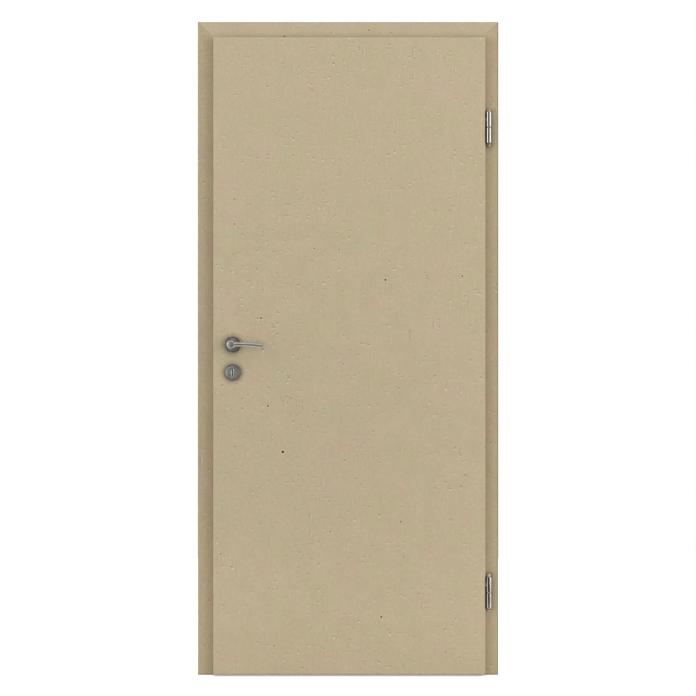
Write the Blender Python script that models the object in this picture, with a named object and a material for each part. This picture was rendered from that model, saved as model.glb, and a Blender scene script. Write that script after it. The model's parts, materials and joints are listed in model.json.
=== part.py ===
"""Interior door: a rebated flush leaf in a mitred wrap-around lining frame.

Metres, +Z up. The viewer stands on the -Y side, towards which the leaf opens.
The origin is on the outer face of the hinge-side lining, at the floor and at
the middle of the wall's thickness. Frame sections are drawn as outlines of
(t, y) points, where t is the distance outwards from the clear opening.
"""

import math

import bmesh
import bpy
from mathutils import Matrix, Vector

# Doorway
CLEAR_WIDTH = 0.800
CLEAR_HEIGHT = 1.995
WALL_THICKNESS = 0.120

# Lining and casings
LINING_THICKNESS = 0.025
STOP_WIDTH = 0.017
CASING_WIDTH = 0.060
CASING_THICKNESS = 0.025
BACK_CASING_THICKNESS = 0.016
BACK_CASING_SETBACK = 0.005
CASING_ARRIS = 0.003
LINING_ARRIS = 0.0015
GLUE_TONGUE_THICKNESS = 0.003
GLUE_TONGUE_DEPTH = 0.008
SLIDE_TONGUE_THICKNESS = 0.006
SLIDE_TONGUE_DEPTH = 0.020
SLIDE_GROOVE_SPARE = 0.003

# Seal strip
SEAL_PLACE = 0.62  # share of the stop's width
SEAL_WIDTH = 0.0084
SEAL_FOOT_THICKNESS = 0.0024
SEAL_FOOT_DEPTH = 0.006
SEAL_CORNER = 0.0022

# Leaf
LEAF_THICKNESS = 0.040
OVERLAP_THICKNESS = 0.0155
OVERLAP_LATCH = 0.0145
OVERLAP_HINGE = 0.0215
OVERLAP_TOP = 0.0115
LEAF_ARRIS = 0.0025
LEAF_BACK_ARRIS = 0.0012
GAP_LATCH = 0.0056
GAP_HINGE = 0.005
GAP_TOP = 0.0055
GAP_CASING = 0.005
GAP_FLOOR = 0.005

# Hinges
HINGE_ABOVE_LEAF_FOOT = 0.259
HINGE_BELOW_LEAF_TOP = 0.2838
HINGE_OUTSIDE_LEAF = 0.0115
KNUCKLE_RADIUS = 0.0085
KNUCKLE_LENGTH = 0.050
KNUCKLE_CHAMFER = 0.0009
PIN_RADIUS = 0.0037
PIN_LENGTH = 0.080
PEG_RADIUS = 0.004
LEAF_PEG_REACH = 0.040
FRAME_PEG_REACH = 0.021
CAP_RADIUS = 0.0064
CAP_HEIGHT = 0.0112
CAP_NECK_RADIUS = 0.0048
CAP_NECK_HEIGHT = 0.0022
CAP_UNDERCUT = 0.0016
CAP_PLUG_LENGTH = 0.006

# Lock
BACKSET = 0.0474
LEVER_HEIGHT = 1.048
KEY_SPACING = 0.088
LOCK_LINE_SHIFT = 0.00175
FACEPLATE_WIDTH = 0.018
FACEPLATE_LENGTH = 0.235
FACEPLATE_THICKNESS = 0.003
FACEPLATE_DROP = 0.020
LATCH_WIDTH = 0.010
LATCH_HEIGHT = 0.024
LATCH_RISE = 0.015
LATCH_SLOPE = 0.009
LATCH_NOSE_DEPTH = 0.00135
DEAD_BOLT_WIDTH = 0.008
DEAD_BOLT_HEIGHT = 0.034
DEAD_BOLT_DROP = 0.042
BOLT_LENGTH = 0.030

# Strike plate
STRIKE_LENGTH = 0.170
STRIKE_THICKNESS = 0.0015
STRIKE_SIDE_WIDTH = 0.0205
STRIKE_FRONT_WIDTH = 0.008
STRIKE_WINDOW_WIDTH = 0.0126
STRIKE_WINDOW_MARGIN = 0.003
STRIKE_POCKET_DEPTH = 0.016

# Keyhole
KEYHOLE_RADIUS = 0.0033
KEYHOLE_RISE = 0.0075
KEYHOLE_SLOT_WIDTH = 0.004
KEYHOLE_SLOT_DROP = 0.0115
COLLAR_WIDTH = 0.0126
COLLAR_HEIGHT = 0.027
COLLAR_PROUD = 0.0011

# Roses
ROSE_RADIUS = 0.025
ROSE_HEIGHT = 0.008
ROSE_SHOULDER = 0.004
ROSE_DOME = 0.0012
KEY_ROSE_HEIGHT = 0.007

# Lever handles, each a flared hub with a drooping grip at its front
LEVER_REACH = 0.1024
LEVER_STAND_OFF = 0.050
LEVER_NECK_RADIUS = 0.0105
LEVER_NECK_INSET = 0.004
LEVER_NECK_STRAIGHT = 0.005
HUB_RADIUS = 0.0129
HUB_FLARE = 0.022
HUB_EDGE = 0.0042
HUB_DOME = 0.0006
LEVER_RISE = 0.0005  # of the grip's middle above the spindle's line, at its root
LEVER_DROP = 0.0056  # of the grip's middle below the spindle's line, at its tip
LEVER_DROOP_POWER = 3
LEVER_TIP_ROUND = 0.0035
GRIP_ROOT = (0.0077, 0.0070)  # half height and half depth
GRIP_WAIST = (0.0069, 0.0062)
GRIP_TIP = (0.0066, 0.0052)
GRIP_WAIST_REACH = 0.034
SPINDLE_SIZE = 0.008
SPINDLE_GRIP = 0.022
SPINDLE_HOLE_RADIUS = 0.007

# Clearances
JOINT = 0.0003
KNUCKLE_SPLIT = 0.0008

# Facets
TURN_STEPS = 32
ROSE_STEPS = 48
ARC_STEPS = 4
FLARE_STEPS = 6
LOFT_STEPS = 28
GRIP_STEPS = 14

SHARP_ANGLE = math.radians(35)

# Places across the wall
CASING_BACK_Y = -WALL_THICKNESS / 2
CASING_FRONT_Y = CASING_BACK_Y - CASING_THICKNESS
STOP_Y = CASING_BACK_Y + JOINT
LINING_BACK_Y = WALL_THICKNESS / 2 - JOINT
OVERLAP_BACK_Y = CASING_FRONT_Y - GAP_CASING
LEAF_FRONT_Y = OVERLAP_BACK_Y - OVERLAP_THICKNESS
LEAF_BACK_Y = LEAF_FRONT_Y + LEAF_THICKNESS
LOCK_Y = (OVERLAP_BACK_Y + LEAF_BACK_Y) / 2 + LOCK_LINE_SHIFT

# Distances outwards from the clear opening
FRAME_EDGE_T = STOP_WIDTH + CASING_WIDTH
GLUE_TONGUE_T = (STOP_WIDTH + LINING_THICKNESS) / 2
SLIDE_TONGUE_T = LINING_THICKNESS / 2 + JOINT
SEAL_T = STOP_WIDTH * SEAL_PLACE
MITRE_SETBACK = JOINT / math.sqrt(2)

# Places along the wall
CLEAR_HINGE_X = -LINING_THICKNESS
CLEAR_LATCH_X = CLEAR_HINGE_X - CLEAR_WIDTH
REBATE_LATCH_X = CLEAR_LATCH_X - STOP_WIDTH
BODY_HINGE_X = CLEAR_HINGE_X + STOP_WIDTH - GAP_HINGE
BODY_LATCH_X = REBATE_LATCH_X + GAP_LATCH
OVERLAP_HINGE_X = BODY_HINGE_X + OVERLAP_HINGE
OVERLAP_LATCH_X = BODY_LATCH_X - OVERLAP_LATCH
HINGE_X = OVERLAP_HINGE_X + HINGE_OUTSIDE_LEAF
SPINDLE_X = BODY_LATCH_X + BACKSET

# Heights
BODY_TOP_Z = CLEAR_HEIGHT + STOP_WIDTH - GAP_TOP
OVERLAP_TOP_Z = BODY_TOP_Z + OVERLAP_TOP
LATCH_Z = LEVER_HEIGHT + LATCH_RISE
DEAD_BOLT_Z = LEVER_HEIGHT - DEAD_BOLT_DROP
KEY_Z = LEVER_HEIGHT - KEY_SPACING
FACEPLATE_Z = LEVER_HEIGHT - FACEPLATE_DROP
STRIKE_Z = (LATCH_Z + DEAD_BOLT_Z) / 2
LOWER_HINGE_Z = GAP_FLOOR + HINGE_ABOVE_LEAF_FOOT
UPPER_HINGE_Z = OVERLAP_TOP_Z - HINGE_BELOW_LEAF_TOP

# The hinge line runs through the middle of the overlap's thickness
HINGE_Y = (LEAF_FRONT_Y + OVERLAP_BACK_Y) / 2


# Materials
def make_finish(name, colour, roughness, metallic):
    finish = bpy.data.materials.new(name)
    finish.use_nodes = True
    shader = finish.node_tree.nodes["Principled BSDF"]
    shader.inputs["Base Color"].default_value = (*colour, 1.0)
    shader.inputs["Roughness"].default_value = roughness
    shader.inputs["Metallic"].default_value = metallic
    finish.diffuse_color = (*colour, 1.0)
    return finish


# Outlines
def arc(centre, radius, start, end, steps):
    """Points on an arc, angles in radians."""
    points = []
    for i in range(steps + 1):
        angle = start + (end - start) * i / steps
        points.append((centre[0] + radius * math.cos(angle), centre[1] + radius * math.sin(angle)))
    return points


def rounded(corners):
    """An outline from (x, y, radius) corners, each radius above zero drawn as an arc."""
    points = []
    count = len(corners)
    for i, (x, y, radius) in enumerate(corners):
        here = Vector((x, y))
        if radius <= 0:
            points.append((x, y))
            continue
        before = (Vector(corners[i - 1][:2]) - here).normalized()
        after = (Vector(corners[(i + 1) % count][:2]) - here).normalized()
        half = before.angle(after) / 2
        start = here + before * radius / math.tan(half)
        centre = here + (before + after).normalized() * radius / math.sin(half)
        spoke = start - centre
        turn = math.pi - 2 * half
        if before.cross(after) > 0:
            turn = -turn
        for step in range(ARC_STEPS + 1):
            angle = turn * step / ARC_STEPS
            cos, sin = math.cos(angle), math.sin(angle)
            offset = (cos * spoke.x - sin * spoke.y, sin * spoke.x + cos * spoke.y)
            points.append((centre.x + offset[0], centre.y + offset[1]))
    return points


def stadium(half_width, low, high, steps):
    """An upright slot outline with round ends, in (across, up) points."""
    bottom = arc((0, low + half_width), half_width, math.pi, 2 * math.pi, steps)
    top = arc((0, high - half_width), half_width, 0, math.pi, steps)
    return bottom + top


# Solids
def close_prism(bm, first, last):
    """Walls and end caps between two rings of vertices."""
    count = len(first)
    for i in range(count):
        j = (i + 1) % count
        bm.faces.new((first[i], first[j], last[j], last[i]))
    bm.faces.new(first)
    bm.faces.new(last)
    bmesh.ops.recalc_face_normals(bm, faces=bm.faces)


def prism(outline, start, end, place):
    """A solid between two copies of an outline; place turns (u, v, depth) into a point."""
    bm = bmesh.new()
    first = [bm.verts.new(place(u, v, start)) for u, v in outline]
    last = [bm.verts.new(place(u, v, end)) for u, v in outline]
    close_prism(bm, first, last)
    return bm


def along_x(u, v, depth):
    return (depth, u, v)


def along_y(u, v, depth):
    return (u, depth, v)


def along_z(u, v, depth):
    return (u, v, depth)


def box(low, high):
    bm = bmesh.new()
    bmesh.ops.create_cube(bm, size=1.0)
    size = Vector(high) - Vector(low)
    middle = (Vector(high) + Vector(low)) / 2
    bmesh.ops.scale(bm, vec=size, verts=bm.verts)
    bmesh.ops.translate(bm, vec=middle, verts=bm.verts)
    return bm


def turned(profile, steps):
    """A solid turned round local Z from (radius, height) points.

    A profile that starts and ends on the axis is closed by its poles;
    any other profile is a closed loop, and makes a ring.
    """
    bm = bmesh.new()
    rings = []
    for radius, height in profile:
        if radius == 0:
            rings.append([bm.verts.new((0, 0, height))])
            continue
        angles = [2 * math.pi * (i + 0.5) / steps for i in range(steps)]
        rings.append([bm.verts.new((radius * math.cos(a), radius * math.sin(a), height)) for a in angles])
    pairs = list(zip(rings, rings[1:]))
    if profile[0][0] > 0:
        pairs.append((rings[-1], rings[0]))
    for lower, upper in pairs:
        for i in range(steps):
            j = (i + 1) % steps
            face = [lower[i % len(lower)], lower[j % len(lower)], upper[j % len(upper)], upper[i % len(upper)]]
            bm.faces.new(list(dict.fromkeys(face)))
    bmesh.ops.recalc_face_normals(bm, faces=bm.faces)
    return bm


def rod(radius, start, end, steps=TURN_STEPS):
    return turned([(0, start), (radius, start), (radius, end), (0, end)], steps)


def turn_to(bm, direction):
    """Turn a solid's local Z to a direction."""
    rotation = Vector((0, 0, 1)).rotation_difference(Vector(direction)).to_matrix()
    bmesh.ops.rotate(bm, matrix=rotation, verts=bm.verts)
    return bm


def move(bm, offset):
    bmesh.ops.translate(bm, vec=Vector(offset), verts=bm.verts)
    return bm


# Objects
def make_object(name, bm, finish, parent=None, location=(0, 0, 0), rotation=(0, 0, 0), smooth=False):
    mesh = bpy.data.meshes.new(name)
    bm.to_mesh(mesh)
    bm.free()
    mesh.materials.append(finish)
    item = bpy.data.objects.new(name, mesh)
    bpy.context.collection.objects.link(item)
    item.location = location
    item.rotation_euler = rotation
    if parent:
        item.parent = parent
        item.matrix_parent_inverse = Matrix.Translation(parent.location).inverted()
    if smooth:
        shade(item)
    return item


def shade(item):
    """Smooth shading with crisp edges."""
    item.data.shade_smooth()
    item.data.set_sharp_from_angle(angle=SHARP_ANGLE)


def make_axis(name, location):
    """An empty on a joint's axis, which carries the pieces that turn about it."""
    axis = bpy.data.objects.new(name, None)
    bpy.context.collection.objects.link(axis)
    axis.location = location
    axis.empty_display_size = 0.05
    return axis


def combine(item, tool, operation):
    """Join a tool solid to an item, or cut it away, and keep the result as the item's mesh."""
    mesh = bpy.data.meshes.new("tool")
    tool.to_mesh(mesh)
    tool.free()
    helper = bpy.data.objects.new("tool", mesh)
    bpy.context.collection.objects.link(helper)
    step = item.modifiers.new("step", "BOOLEAN")
    step.operation = operation
    step.solver = "EXACT"
    step.object = helper
    bpy.context.view_layer.update()
    graph = bpy.context.evaluated_depsgraph_get()
    result = bpy.data.meshes.new_from_object(item.evaluated_get(graph))
    item.modifiers.clear()
    old = item.data
    result.name = old.name
    item.data = result
    bpy.data.meshes.remove(old)
    bpy.data.objects.remove(helper)
    bpy.data.meshes.remove(mesh)


def cut(item, tool):
    combine(item, tool, "DIFFERENCE")


def join(item, tool):
    combine(item, tool, "UNION")


# Frame sections, drawn once and run round the opening
def lining_outline():
    tongue = GLUE_TONGUE_THICKNESS / 2 - JOINT
    groove = SLIDE_TONGUE_THICKNESS / 2 + JOINT
    groove_floor = LINING_BACK_Y - SLIDE_TONGUE_DEPTH - SLIDE_GROOVE_SPARE
    seal = SEAL_FOOT_THICKNESS / 2 + JOINT
    return rounded([
        (0, STOP_Y, LINING_ARRIS),
        (SEAL_T - seal, STOP_Y, 0),
        (SEAL_T - seal, STOP_Y + SEAL_FOOT_DEPTH, 0),
        (SEAL_T + seal, STOP_Y + SEAL_FOOT_DEPTH, 0),
        (SEAL_T + seal, STOP_Y, 0),
        (GLUE_TONGUE_T - tongue, STOP_Y, 0),
        (GLUE_TONGUE_T - tongue, STOP_Y - GLUE_TONGUE_DEPTH, 0),
        (GLUE_TONGUE_T + tongue, STOP_Y - GLUE_TONGUE_DEPTH, 0),
        (GLUE_TONGUE_T + tongue, STOP_Y, 0),
        (LINING_THICKNESS, STOP_Y, 0),
        (LINING_THICKNESS, LINING_BACK_Y, 0),
        (SLIDE_TONGUE_T + groove, LINING_BACK_Y, 0),
        (SLIDE_TONGUE_T + groove, groove_floor, 0),
        (SLIDE_TONGUE_T - groove, groove_floor, 0),
        (SLIDE_TONGUE_T - groove, LINING_BACK_Y, 0),
        (0, LINING_BACK_Y, LINING_ARRIS),
    ])


def front_casing_outline():
    groove = GLUE_TONGUE_THICKNESS / 2
    groove_floor = CASING_BACK_Y - GLUE_TONGUE_DEPTH - JOINT
    return rounded([
        (STOP_WIDTH, CASING_FRONT_Y, CASING_ARRIS),
        (FRAME_EDGE_T, CASING_FRONT_Y, CASING_ARRIS),
        (FRAME_EDGE_T, CASING_BACK_Y, 0),
        (GLUE_TONGUE_T + groove, CASING_BACK_Y, 0),
        (GLUE_TONGUE_T + groove, groove_floor, 0),
        (GLUE_TONGUE_T - groove, groove_floor, 0),
        (GLUE_TONGUE_T - groove, CASING_BACK_Y, 0),
        (STOP_WIDTH, CASING_BACK_Y, 0),
    ])


def back_casing_outline():
    wall_y = WALL_THICKNESS / 2
    room_y = wall_y + BACK_CASING_THICKNESS
    tongue = SLIDE_TONGUE_THICKNESS / 2
    return rounded([
        (BACK_CASING_SETBACK, wall_y, 0),
        (SLIDE_TONGUE_T - tongue, wall_y, 0),
        (SLIDE_TONGUE_T - tongue, wall_y - SLIDE_TONGUE_DEPTH, 0),
        (SLIDE_TONGUE_T + tongue, wall_y - SLIDE_TONGUE_DEPTH, 0),
        (SLIDE_TONGUE_T + tongue, wall_y, 0),
        (FRAME_EDGE_T, wall_y, 0),
        (FRAME_EDGE_T, room_y, CASING_ARRIS),
        (BACK_CASING_SETBACK, room_y, CASING_ARRIS),
    ])


def seal_outline():
    base_y = STOP_Y - JOINT
    lip_y = LEAF_BACK_Y + JOINT
    foot = SEAL_FOOT_THICKNESS / 2
    foot_y = STOP_Y + SEAL_FOOT_DEPTH - JOINT
    half = SEAL_WIDTH / 2
    return rounded([
        (SEAL_T - half, base_y, 0),
        (SEAL_T - foot, base_y, 0),
        (SEAL_T - foot, foot_y, 0),
        (SEAL_T + foot, foot_y, 0),
        (SEAL_T + foot, base_y, 0),
        (SEAL_T + half, base_y, 0),
        (SEAL_T + half, lip_y, SEAL_CORNER),
        (SEAL_T - half, lip_y, SEAL_CORNER),
    ])


def jamb_x(side, t):
    """The place along the wall of a point t outwards from the clear opening."""
    if side == "hinge_side":
        return CLEAR_HINGE_X + t
    return CLEAR_LATCH_X - t


def jamb_member(name, outline, side, finish):
    """A section run up one side, its top cut to the mitre."""
    bm = bmesh.new()
    foot = [bm.verts.new((jamb_x(side, t), y, 0)) for t, y in outline]
    top = [bm.verts.new((jamb_x(side, t), y, CLEAR_HEIGHT + t - MITRE_SETBACK)) for t, y in outline]
    close_prism(bm, foot, top)
    return make_object(f"{name}_{side}", bm, finish, smooth=True)


def head_member(name, outline, finish):
    """A section run across the head, mitred at both ends."""
    bm = bmesh.new()
    left = []
    right = []
    for t, y in outline:
        height = CLEAR_HEIGHT + t
        left.append(bm.verts.new((jamb_x("latch_side", t) + MITRE_SETBACK, y, height)))
        right.append(bm.verts.new((jamb_x("hinge_side", t) - MITRE_SETBACK, y, height)))
    close_prism(bm, left, right)
    return make_object(f"{name}_head", bm, finish, smooth=True)


def run_round(name, outline, finish):
    """The two jambs and the head of one section."""
    latch = jamb_member(name, outline, "latch_side", finish)
    hinge = jamb_member(name, outline, "hinge_side", finish)
    head_member(name, outline, finish)
    return latch, hinge


# Strike plate, let into the rebate corner of the latch-side casing
def strike_outline():
    """The plate's angle section, which follows the casing's rounded corner."""
    side_x = REBATE_LATCH_X
    depth = STRIKE_THICKNESS
    return rounded([
        (side_x, CASING_FRONT_Y + STRIKE_SIDE_WIDTH, 0),
        (side_x, CASING_FRONT_Y, CASING_ARRIS),
        (side_x - STRIKE_FRONT_WIDTH, CASING_FRONT_Y, 0),
        (side_x - STRIKE_FRONT_WIDTH, CASING_FRONT_Y + depth, 0),
        (side_x - depth, CASING_FRONT_Y + depth, CASING_ARRIS - depth),
        (side_x - depth, CASING_FRONT_Y + STRIKE_SIDE_WIDTH, 0),
    ])


def bolt_window(height, bolt_height, reach):
    """The clear space that a bolt shoots into, from the rebate side outwards."""
    half_y = STRIKE_WINDOW_WIDTH / 2
    half_z = bolt_height / 2 + STRIKE_WINDOW_MARGIN
    low = (REBATE_LATCH_X - reach, LOCK_Y - half_y, height - half_z)
    high = (REBATE_LATCH_X + GAP_LATCH / 2, LOCK_Y + half_y, height + half_z)
    return box(low, high)


def make_strike(casing, finish):
    low = STRIKE_Z - STRIKE_LENGTH / 2
    high = STRIKE_Z + STRIKE_LENGTH / 2
    plate = make_object("strike_plate", prism(strike_outline(), low, high, along_z), finish)
    cut(casing, prism(recess_outline(), low - JOINT, high + JOINT, along_z))
    for height, bolt_height in ((LATCH_Z, LATCH_HEIGHT), (DEAD_BOLT_Z, DEAD_BOLT_HEIGHT)):
        cut(casing, bolt_window(height, bolt_height, STRIKE_POCKET_DEPTH))
        cut(plate, bolt_window(height, bolt_height, STRIKE_FRONT_WIDTH / 2))
    shade(plate)
    shade(casing)


def recess_outline():
    """The recess reaches past the casing's faces, so that the cut is open."""
    depth = STRIKE_THICKNESS + JOINT
    outside_x = REBATE_LATCH_X + GAP_LATCH / 2
    outside_y = CASING_FRONT_Y - GAP_CASING / 2
    back_y = CASING_FRONT_Y + STRIKE_SIDE_WIDTH + JOINT
    front_x = REBATE_LATCH_X - STRIKE_FRONT_WIDTH - JOINT
    return rounded([
        (outside_x, back_y, 0),
        (outside_x, outside_y, 0),
        (front_x, outside_y, 0),
        (front_x, CASING_FRONT_Y + depth, 0),
        (REBATE_LATCH_X - depth, CASING_FRONT_Y + depth, CASING_ARRIS - depth),
        (REBATE_LATCH_X - depth, back_y, 0),
    ])


# Hinges, each an upper knuckle on the leaf and a lower one on the frame
def knuckle(up):
    """A knuckle from the split line, up for the leaf's half and down for the frame's."""
    near = KNUCKLE_SPLIT / 2
    far = KNUCKLE_LENGTH
    wall = KNUCKLE_RADIUS
    chamfer = KNUCKLE_CHAMFER
    profile = [
        (0, near),
        (wall - chamfer, near),
        (wall, near + chamfer),
        (wall, far - chamfer),
        (wall - chamfer, far),
        (0, far),
    ]
    return turned([(radius, height * up) for radius, height in profile], TURN_STEPS)


def hinge_cap(up):
    """A ball-shaped cap with a neck on the knuckle's end and a plug in its bore."""
    seat = KNUCKLE_LENGTH + JOINT
    under = seat + CAP_NECK_HEIGHT
    waist = under + CAP_UNDERCUT
    rise = CAP_HEIGHT - CAP_NECK_HEIGHT - CAP_UNDERCUT
    profile = [
        (0, seat - CAP_PLUG_LENGTH),
        (PIN_RADIUS, seat - CAP_PLUG_LENGTH),
        (PIN_RADIUS, seat),
        (CAP_NECK_RADIUS, seat),
        (CAP_NECK_RADIUS, under),
    ]
    for across, up_share in arc((0, 0), 1, 0, math.pi / 2, ARC_STEPS + 1)[:-1]:
        profile.append((CAP_RADIUS * across, waist + rise * up_share))
    profile.append((0, seat + CAP_HEIGHT))
    return turned([(radius, height * up) for radius, height in profile], TURN_STEPS)


def make_hinge(label, height, leaf, casing, leaf_axis, chrome, steel):
    """One hinge, with the holes that its pegs fill in the leaf and in the casing."""
    place = (HINGE_X, HINGE_Y, height)
    middle = (KNUCKLE_LENGTH + KNUCKLE_SPLIT / 2) / 2
    leaf_reach = HINGE_OUTSIDE_LEAF + LEAF_PEG_REACH
    frame_reach = CASING_FRONT_Y - HINGE_Y + FRAME_PEG_REACH
    bore = PIN_RADIUS + JOINT

    upper = make_object(f"hinge_{label}_leaf_part", knuckle(1), chrome, leaf_axis, place)
    join(upper, move(turn_to(rod(PEG_RADIUS, 0, leaf_reach), (-1, 0, 0)), (HINGE_X, HINGE_Y, height + middle)))
    cut(upper, move(rod(bore, 0, 2 * KNUCKLE_LENGTH), place))
    shade(upper)

    lower = make_object(f"hinge_{label}_frame_part", knuckle(-1), chrome, None, place)
    join(lower, move(turn_to(rod(PEG_RADIUS, 0, frame_reach), (0, 1, 0)), (HINGE_X, HINGE_Y, height - middle)))
    cut(lower, move(rod(bore, -2 * KNUCKLE_LENGTH, 0), place))
    shade(lower)

    pin = rod(PIN_RADIUS, -PIN_LENGTH / 2, PIN_LENGTH / 2)
    make_object(f"hinge_{label}_pin", pin, steel, None, place, smooth=True)
    make_object(f"hinge_{label}_cap_top", hinge_cap(1), steel, leaf_axis, place, smooth=True)
    make_object(f"hinge_{label}_cap_bottom", hinge_cap(-1), steel, None, place, smooth=True)

    hole = PEG_RADIUS + JOINT
    peg_hole = turn_to(rod(hole, 0, leaf_reach + JOINT), (-1, 0, 0))
    cut(leaf, move(peg_hole, (HINGE_X, HINGE_Y, height + middle)))
    peg_hole = turn_to(rod(hole, 0, frame_reach + JOINT), (0, 1, 0))
    cut(casing, move(peg_hole, (HINGE_X, HINGE_Y, height - middle)))


# Leaf
def make_leaf(finish, parent):
    """The slab, its rebate left standing as an overlap at the sides and the top."""
    def rectangle(bm, y, left, right, top):
        corners = ((left, GAP_FLOOR), (left, top), (right, top), (right, GAP_FLOOR))
        return [bm.verts.new((x, y, z)) for x, z in corners]

    bm = bmesh.new()
    front = rectangle(bm, LEAF_FRONT_Y, OVERLAP_LATCH_X, OVERLAP_HINGE_X, OVERLAP_TOP_Z)
    lip = rectangle(bm, OVERLAP_BACK_Y, OVERLAP_LATCH_X, OVERLAP_HINGE_X, OVERLAP_TOP_Z)
    root = rectangle(bm, OVERLAP_BACK_Y, BODY_LATCH_X, BODY_HINGE_X, BODY_TOP_Z)
    back = rectangle(bm, LEAF_BACK_Y, BODY_LATCH_X, BODY_HINGE_X, BODY_TOP_Z)
    bm.faces.new(front)
    bm.faces.new(back)
    for i in range(3):
        bm.faces.new((front[i], front[i + 1], lip[i + 1], lip[i]))
        bm.faces.new((lip[i], lip[i + 1], root[i + 1], root[i]))
        bm.faces.new((root[i], root[i + 1], back[i + 1], back[i]))
    bm.faces.new((front[0], lip[0], root[0], back[0], back[3], root[3], lip[3], front[3]))
    bmesh.ops.recalc_face_normals(bm, faces=bm.faces)

    def rim(*levels):
        return [e for e in bm.edges if all(any(abs(v.co.y - y) < JOINT for y in levels) for v in e.verts)]

    front_rim = rim(LEAF_FRONT_Y)
    bmesh.ops.bevel(bm, geom=front_rim, offset=LEAF_ARRIS, segments=ARC_STEPS, profile=0.5, affect="EDGES")
    back_rim = rim(LEAF_BACK_Y)
    bmesh.ops.bevel(bm, geom=back_rim, offset=LEAF_BACK_ARRIS, segments=2, profile=0.5, affect="EDGES")
    lip_rim = [e for e in rim(OVERLAP_BACK_Y) if not any(on_body(v.co) for v in e.verts)]
    bmesh.ops.bevel(bm, geom=lip_rim, offset=LEAF_BACK_ARRIS, segments=2, profile=0.5, affect="EDGES")
    return make_object("leaf", bm, finish, parent)


def on_body(point):
    inside_x = BODY_LATCH_X - JOINT < point.x < BODY_HINGE_X + JOINT
    return inside_x and point.z < BODY_TOP_Z + JOINT


# Keyhole
def keyhole(start, end):
    """A keyhole's bow and slot, cut along Y."""
    half = KEYHOLE_SLOT_WIDTH / 2
    shoulder = math.asin(half / KEYHOLE_RADIUS)
    bow = arc((0, KEYHOLE_RISE), KEYHOLE_RADIUS, shoulder - math.pi / 2, 1.5 * math.pi - shoulder, 3 * ARC_STEPS)
    foot = arc((0, half - KEYHOLE_SLOT_DROP), half, math.pi, 2 * math.pi, ARC_STEPS)
    outline = [(SPINDLE_X + x, KEY_Z + z) for x, z in bow + foot]
    return prism(outline, start, end, along_y)


# Roses
def rose_profile(height, hole):
    """Flat seat, upright edge, round shoulder and a slight dome."""
    shoulder = arc((ROSE_RADIUS - ROSE_SHOULDER, height - ROSE_SHOULDER - ROSE_DOME), ROSE_SHOULDER, 0,
                   math.radians(80), ARC_STEPS)
    return [(hole, 0), (ROSE_RADIUS, 0), *shoulder, (hole, height)]


def make_rose(name, height, hole, face_y, outward, centre_z, finish, parent):
    turn = (-outward * math.pi / 2, 0, 0)
    place = (SPINDLE_X, face_y + outward * JOINT, centre_z)
    bm = turned(rose_profile(height, hole), ROSE_STEPS)
    return make_object(name, bm, finish, parent, place, turn)


def make_roses(finish, leaf, parent):
    for side, face_y, outward in (("front", LEAF_FRONT_Y, -1), ("back", LEAF_BACK_Y, 1)):
        hole = LEVER_NECK_RADIUS + JOINT
        rose = make_rose(f"lever_rose_{side}", ROSE_HEIGHT, hole, face_y, outward, LEVER_HEIGHT, finish, parent)
        shade(rose)
        rose = make_rose(f"key_rose_{side}", KEY_ROSE_HEIGHT, 0, face_y, outward, KEY_Z, finish, parent)
        seat_y = face_y + outward * JOINT
        collar_y = face_y + outward * (KEY_ROSE_HEIGHT + COLLAR_PROUD)
        oval = stadium(COLLAR_WIDTH / 2, -COLLAR_HEIGHT / 2, COLLAR_HEIGHT / 2, 2 * ARC_STEPS)
        collar = prism([(SPINDLE_X + x, KEY_Z + z) for x, z in oval], seat_y, collar_y, along_y)
        join(rose, collar)
        reach = 2 * KEY_ROSE_HEIGHT
        cut(rose, keyhole(face_y - reach, face_y + reach))
        shade(rose)
    cut(leaf, keyhole(LEAF_FRONT_Y - JOINT, LEAF_BACK_Y + JOINT))
    spindle_hole = turn_to(rod(SPINDLE_HOLE_RADIUS, -LEAF_THICKNESS, LEAF_THICKNESS), (0, 1, 0))
    cut(leaf, move(spindle_hole, (SPINDLE_X, (LEAF_FRONT_Y + LEAF_BACK_Y) / 2, LEVER_HEIGHT)))


# Lever handles
def ease(start, end, share):
    """A smooth step from start to end."""
    share = share * share * (3 - 2 * share)
    return start + (end - start) * share


def hub_solid(outward):
    """The hub, turned from its neck in the rose through a flare to a flat, round-edged front."""
    start = ROSE_HEIGHT - LEVER_NECK_INSET
    flare = ROSE_HEIGHT + LEVER_NECK_STRAIGHT
    front = LEVER_STAND_OFF + GRIP_ROOT[1]
    profile = [(0, start), (LEVER_NECK_RADIUS, start)]
    for i in range(FLARE_STEPS + 1):
        share = i / FLARE_STEPS
        profile.append((ease(LEVER_NECK_RADIUS, HUB_RADIUS, share), flare + HUB_FLARE * share))
    edge = (HUB_RADIUS - HUB_EDGE, front - HUB_DOME - HUB_EDGE)
    profile += arc(edge, HUB_EDGE, 0, math.pi / 2, ARC_STEPS)
    profile.append((0, front))
    return turn_to(turned(profile, TURN_STEPS), (0, outward, 0))


def grip_section(reach):
    """Half height and half depth of the grip at a distance from the spindle's line."""
    first, last, begin, end = GRIP_ROOT, GRIP_WAIST, 0, GRIP_WAIST_REACH
    if reach > GRIP_WAIST_REACH:
        first, last, begin, end = GRIP_WAIST, GRIP_TIP, GRIP_WAIST_REACH, LEVER_REACH
    share = (reach - begin) / (end - begin)
    return [ease(a, b, share) for a, b in zip(first, last)]


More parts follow.
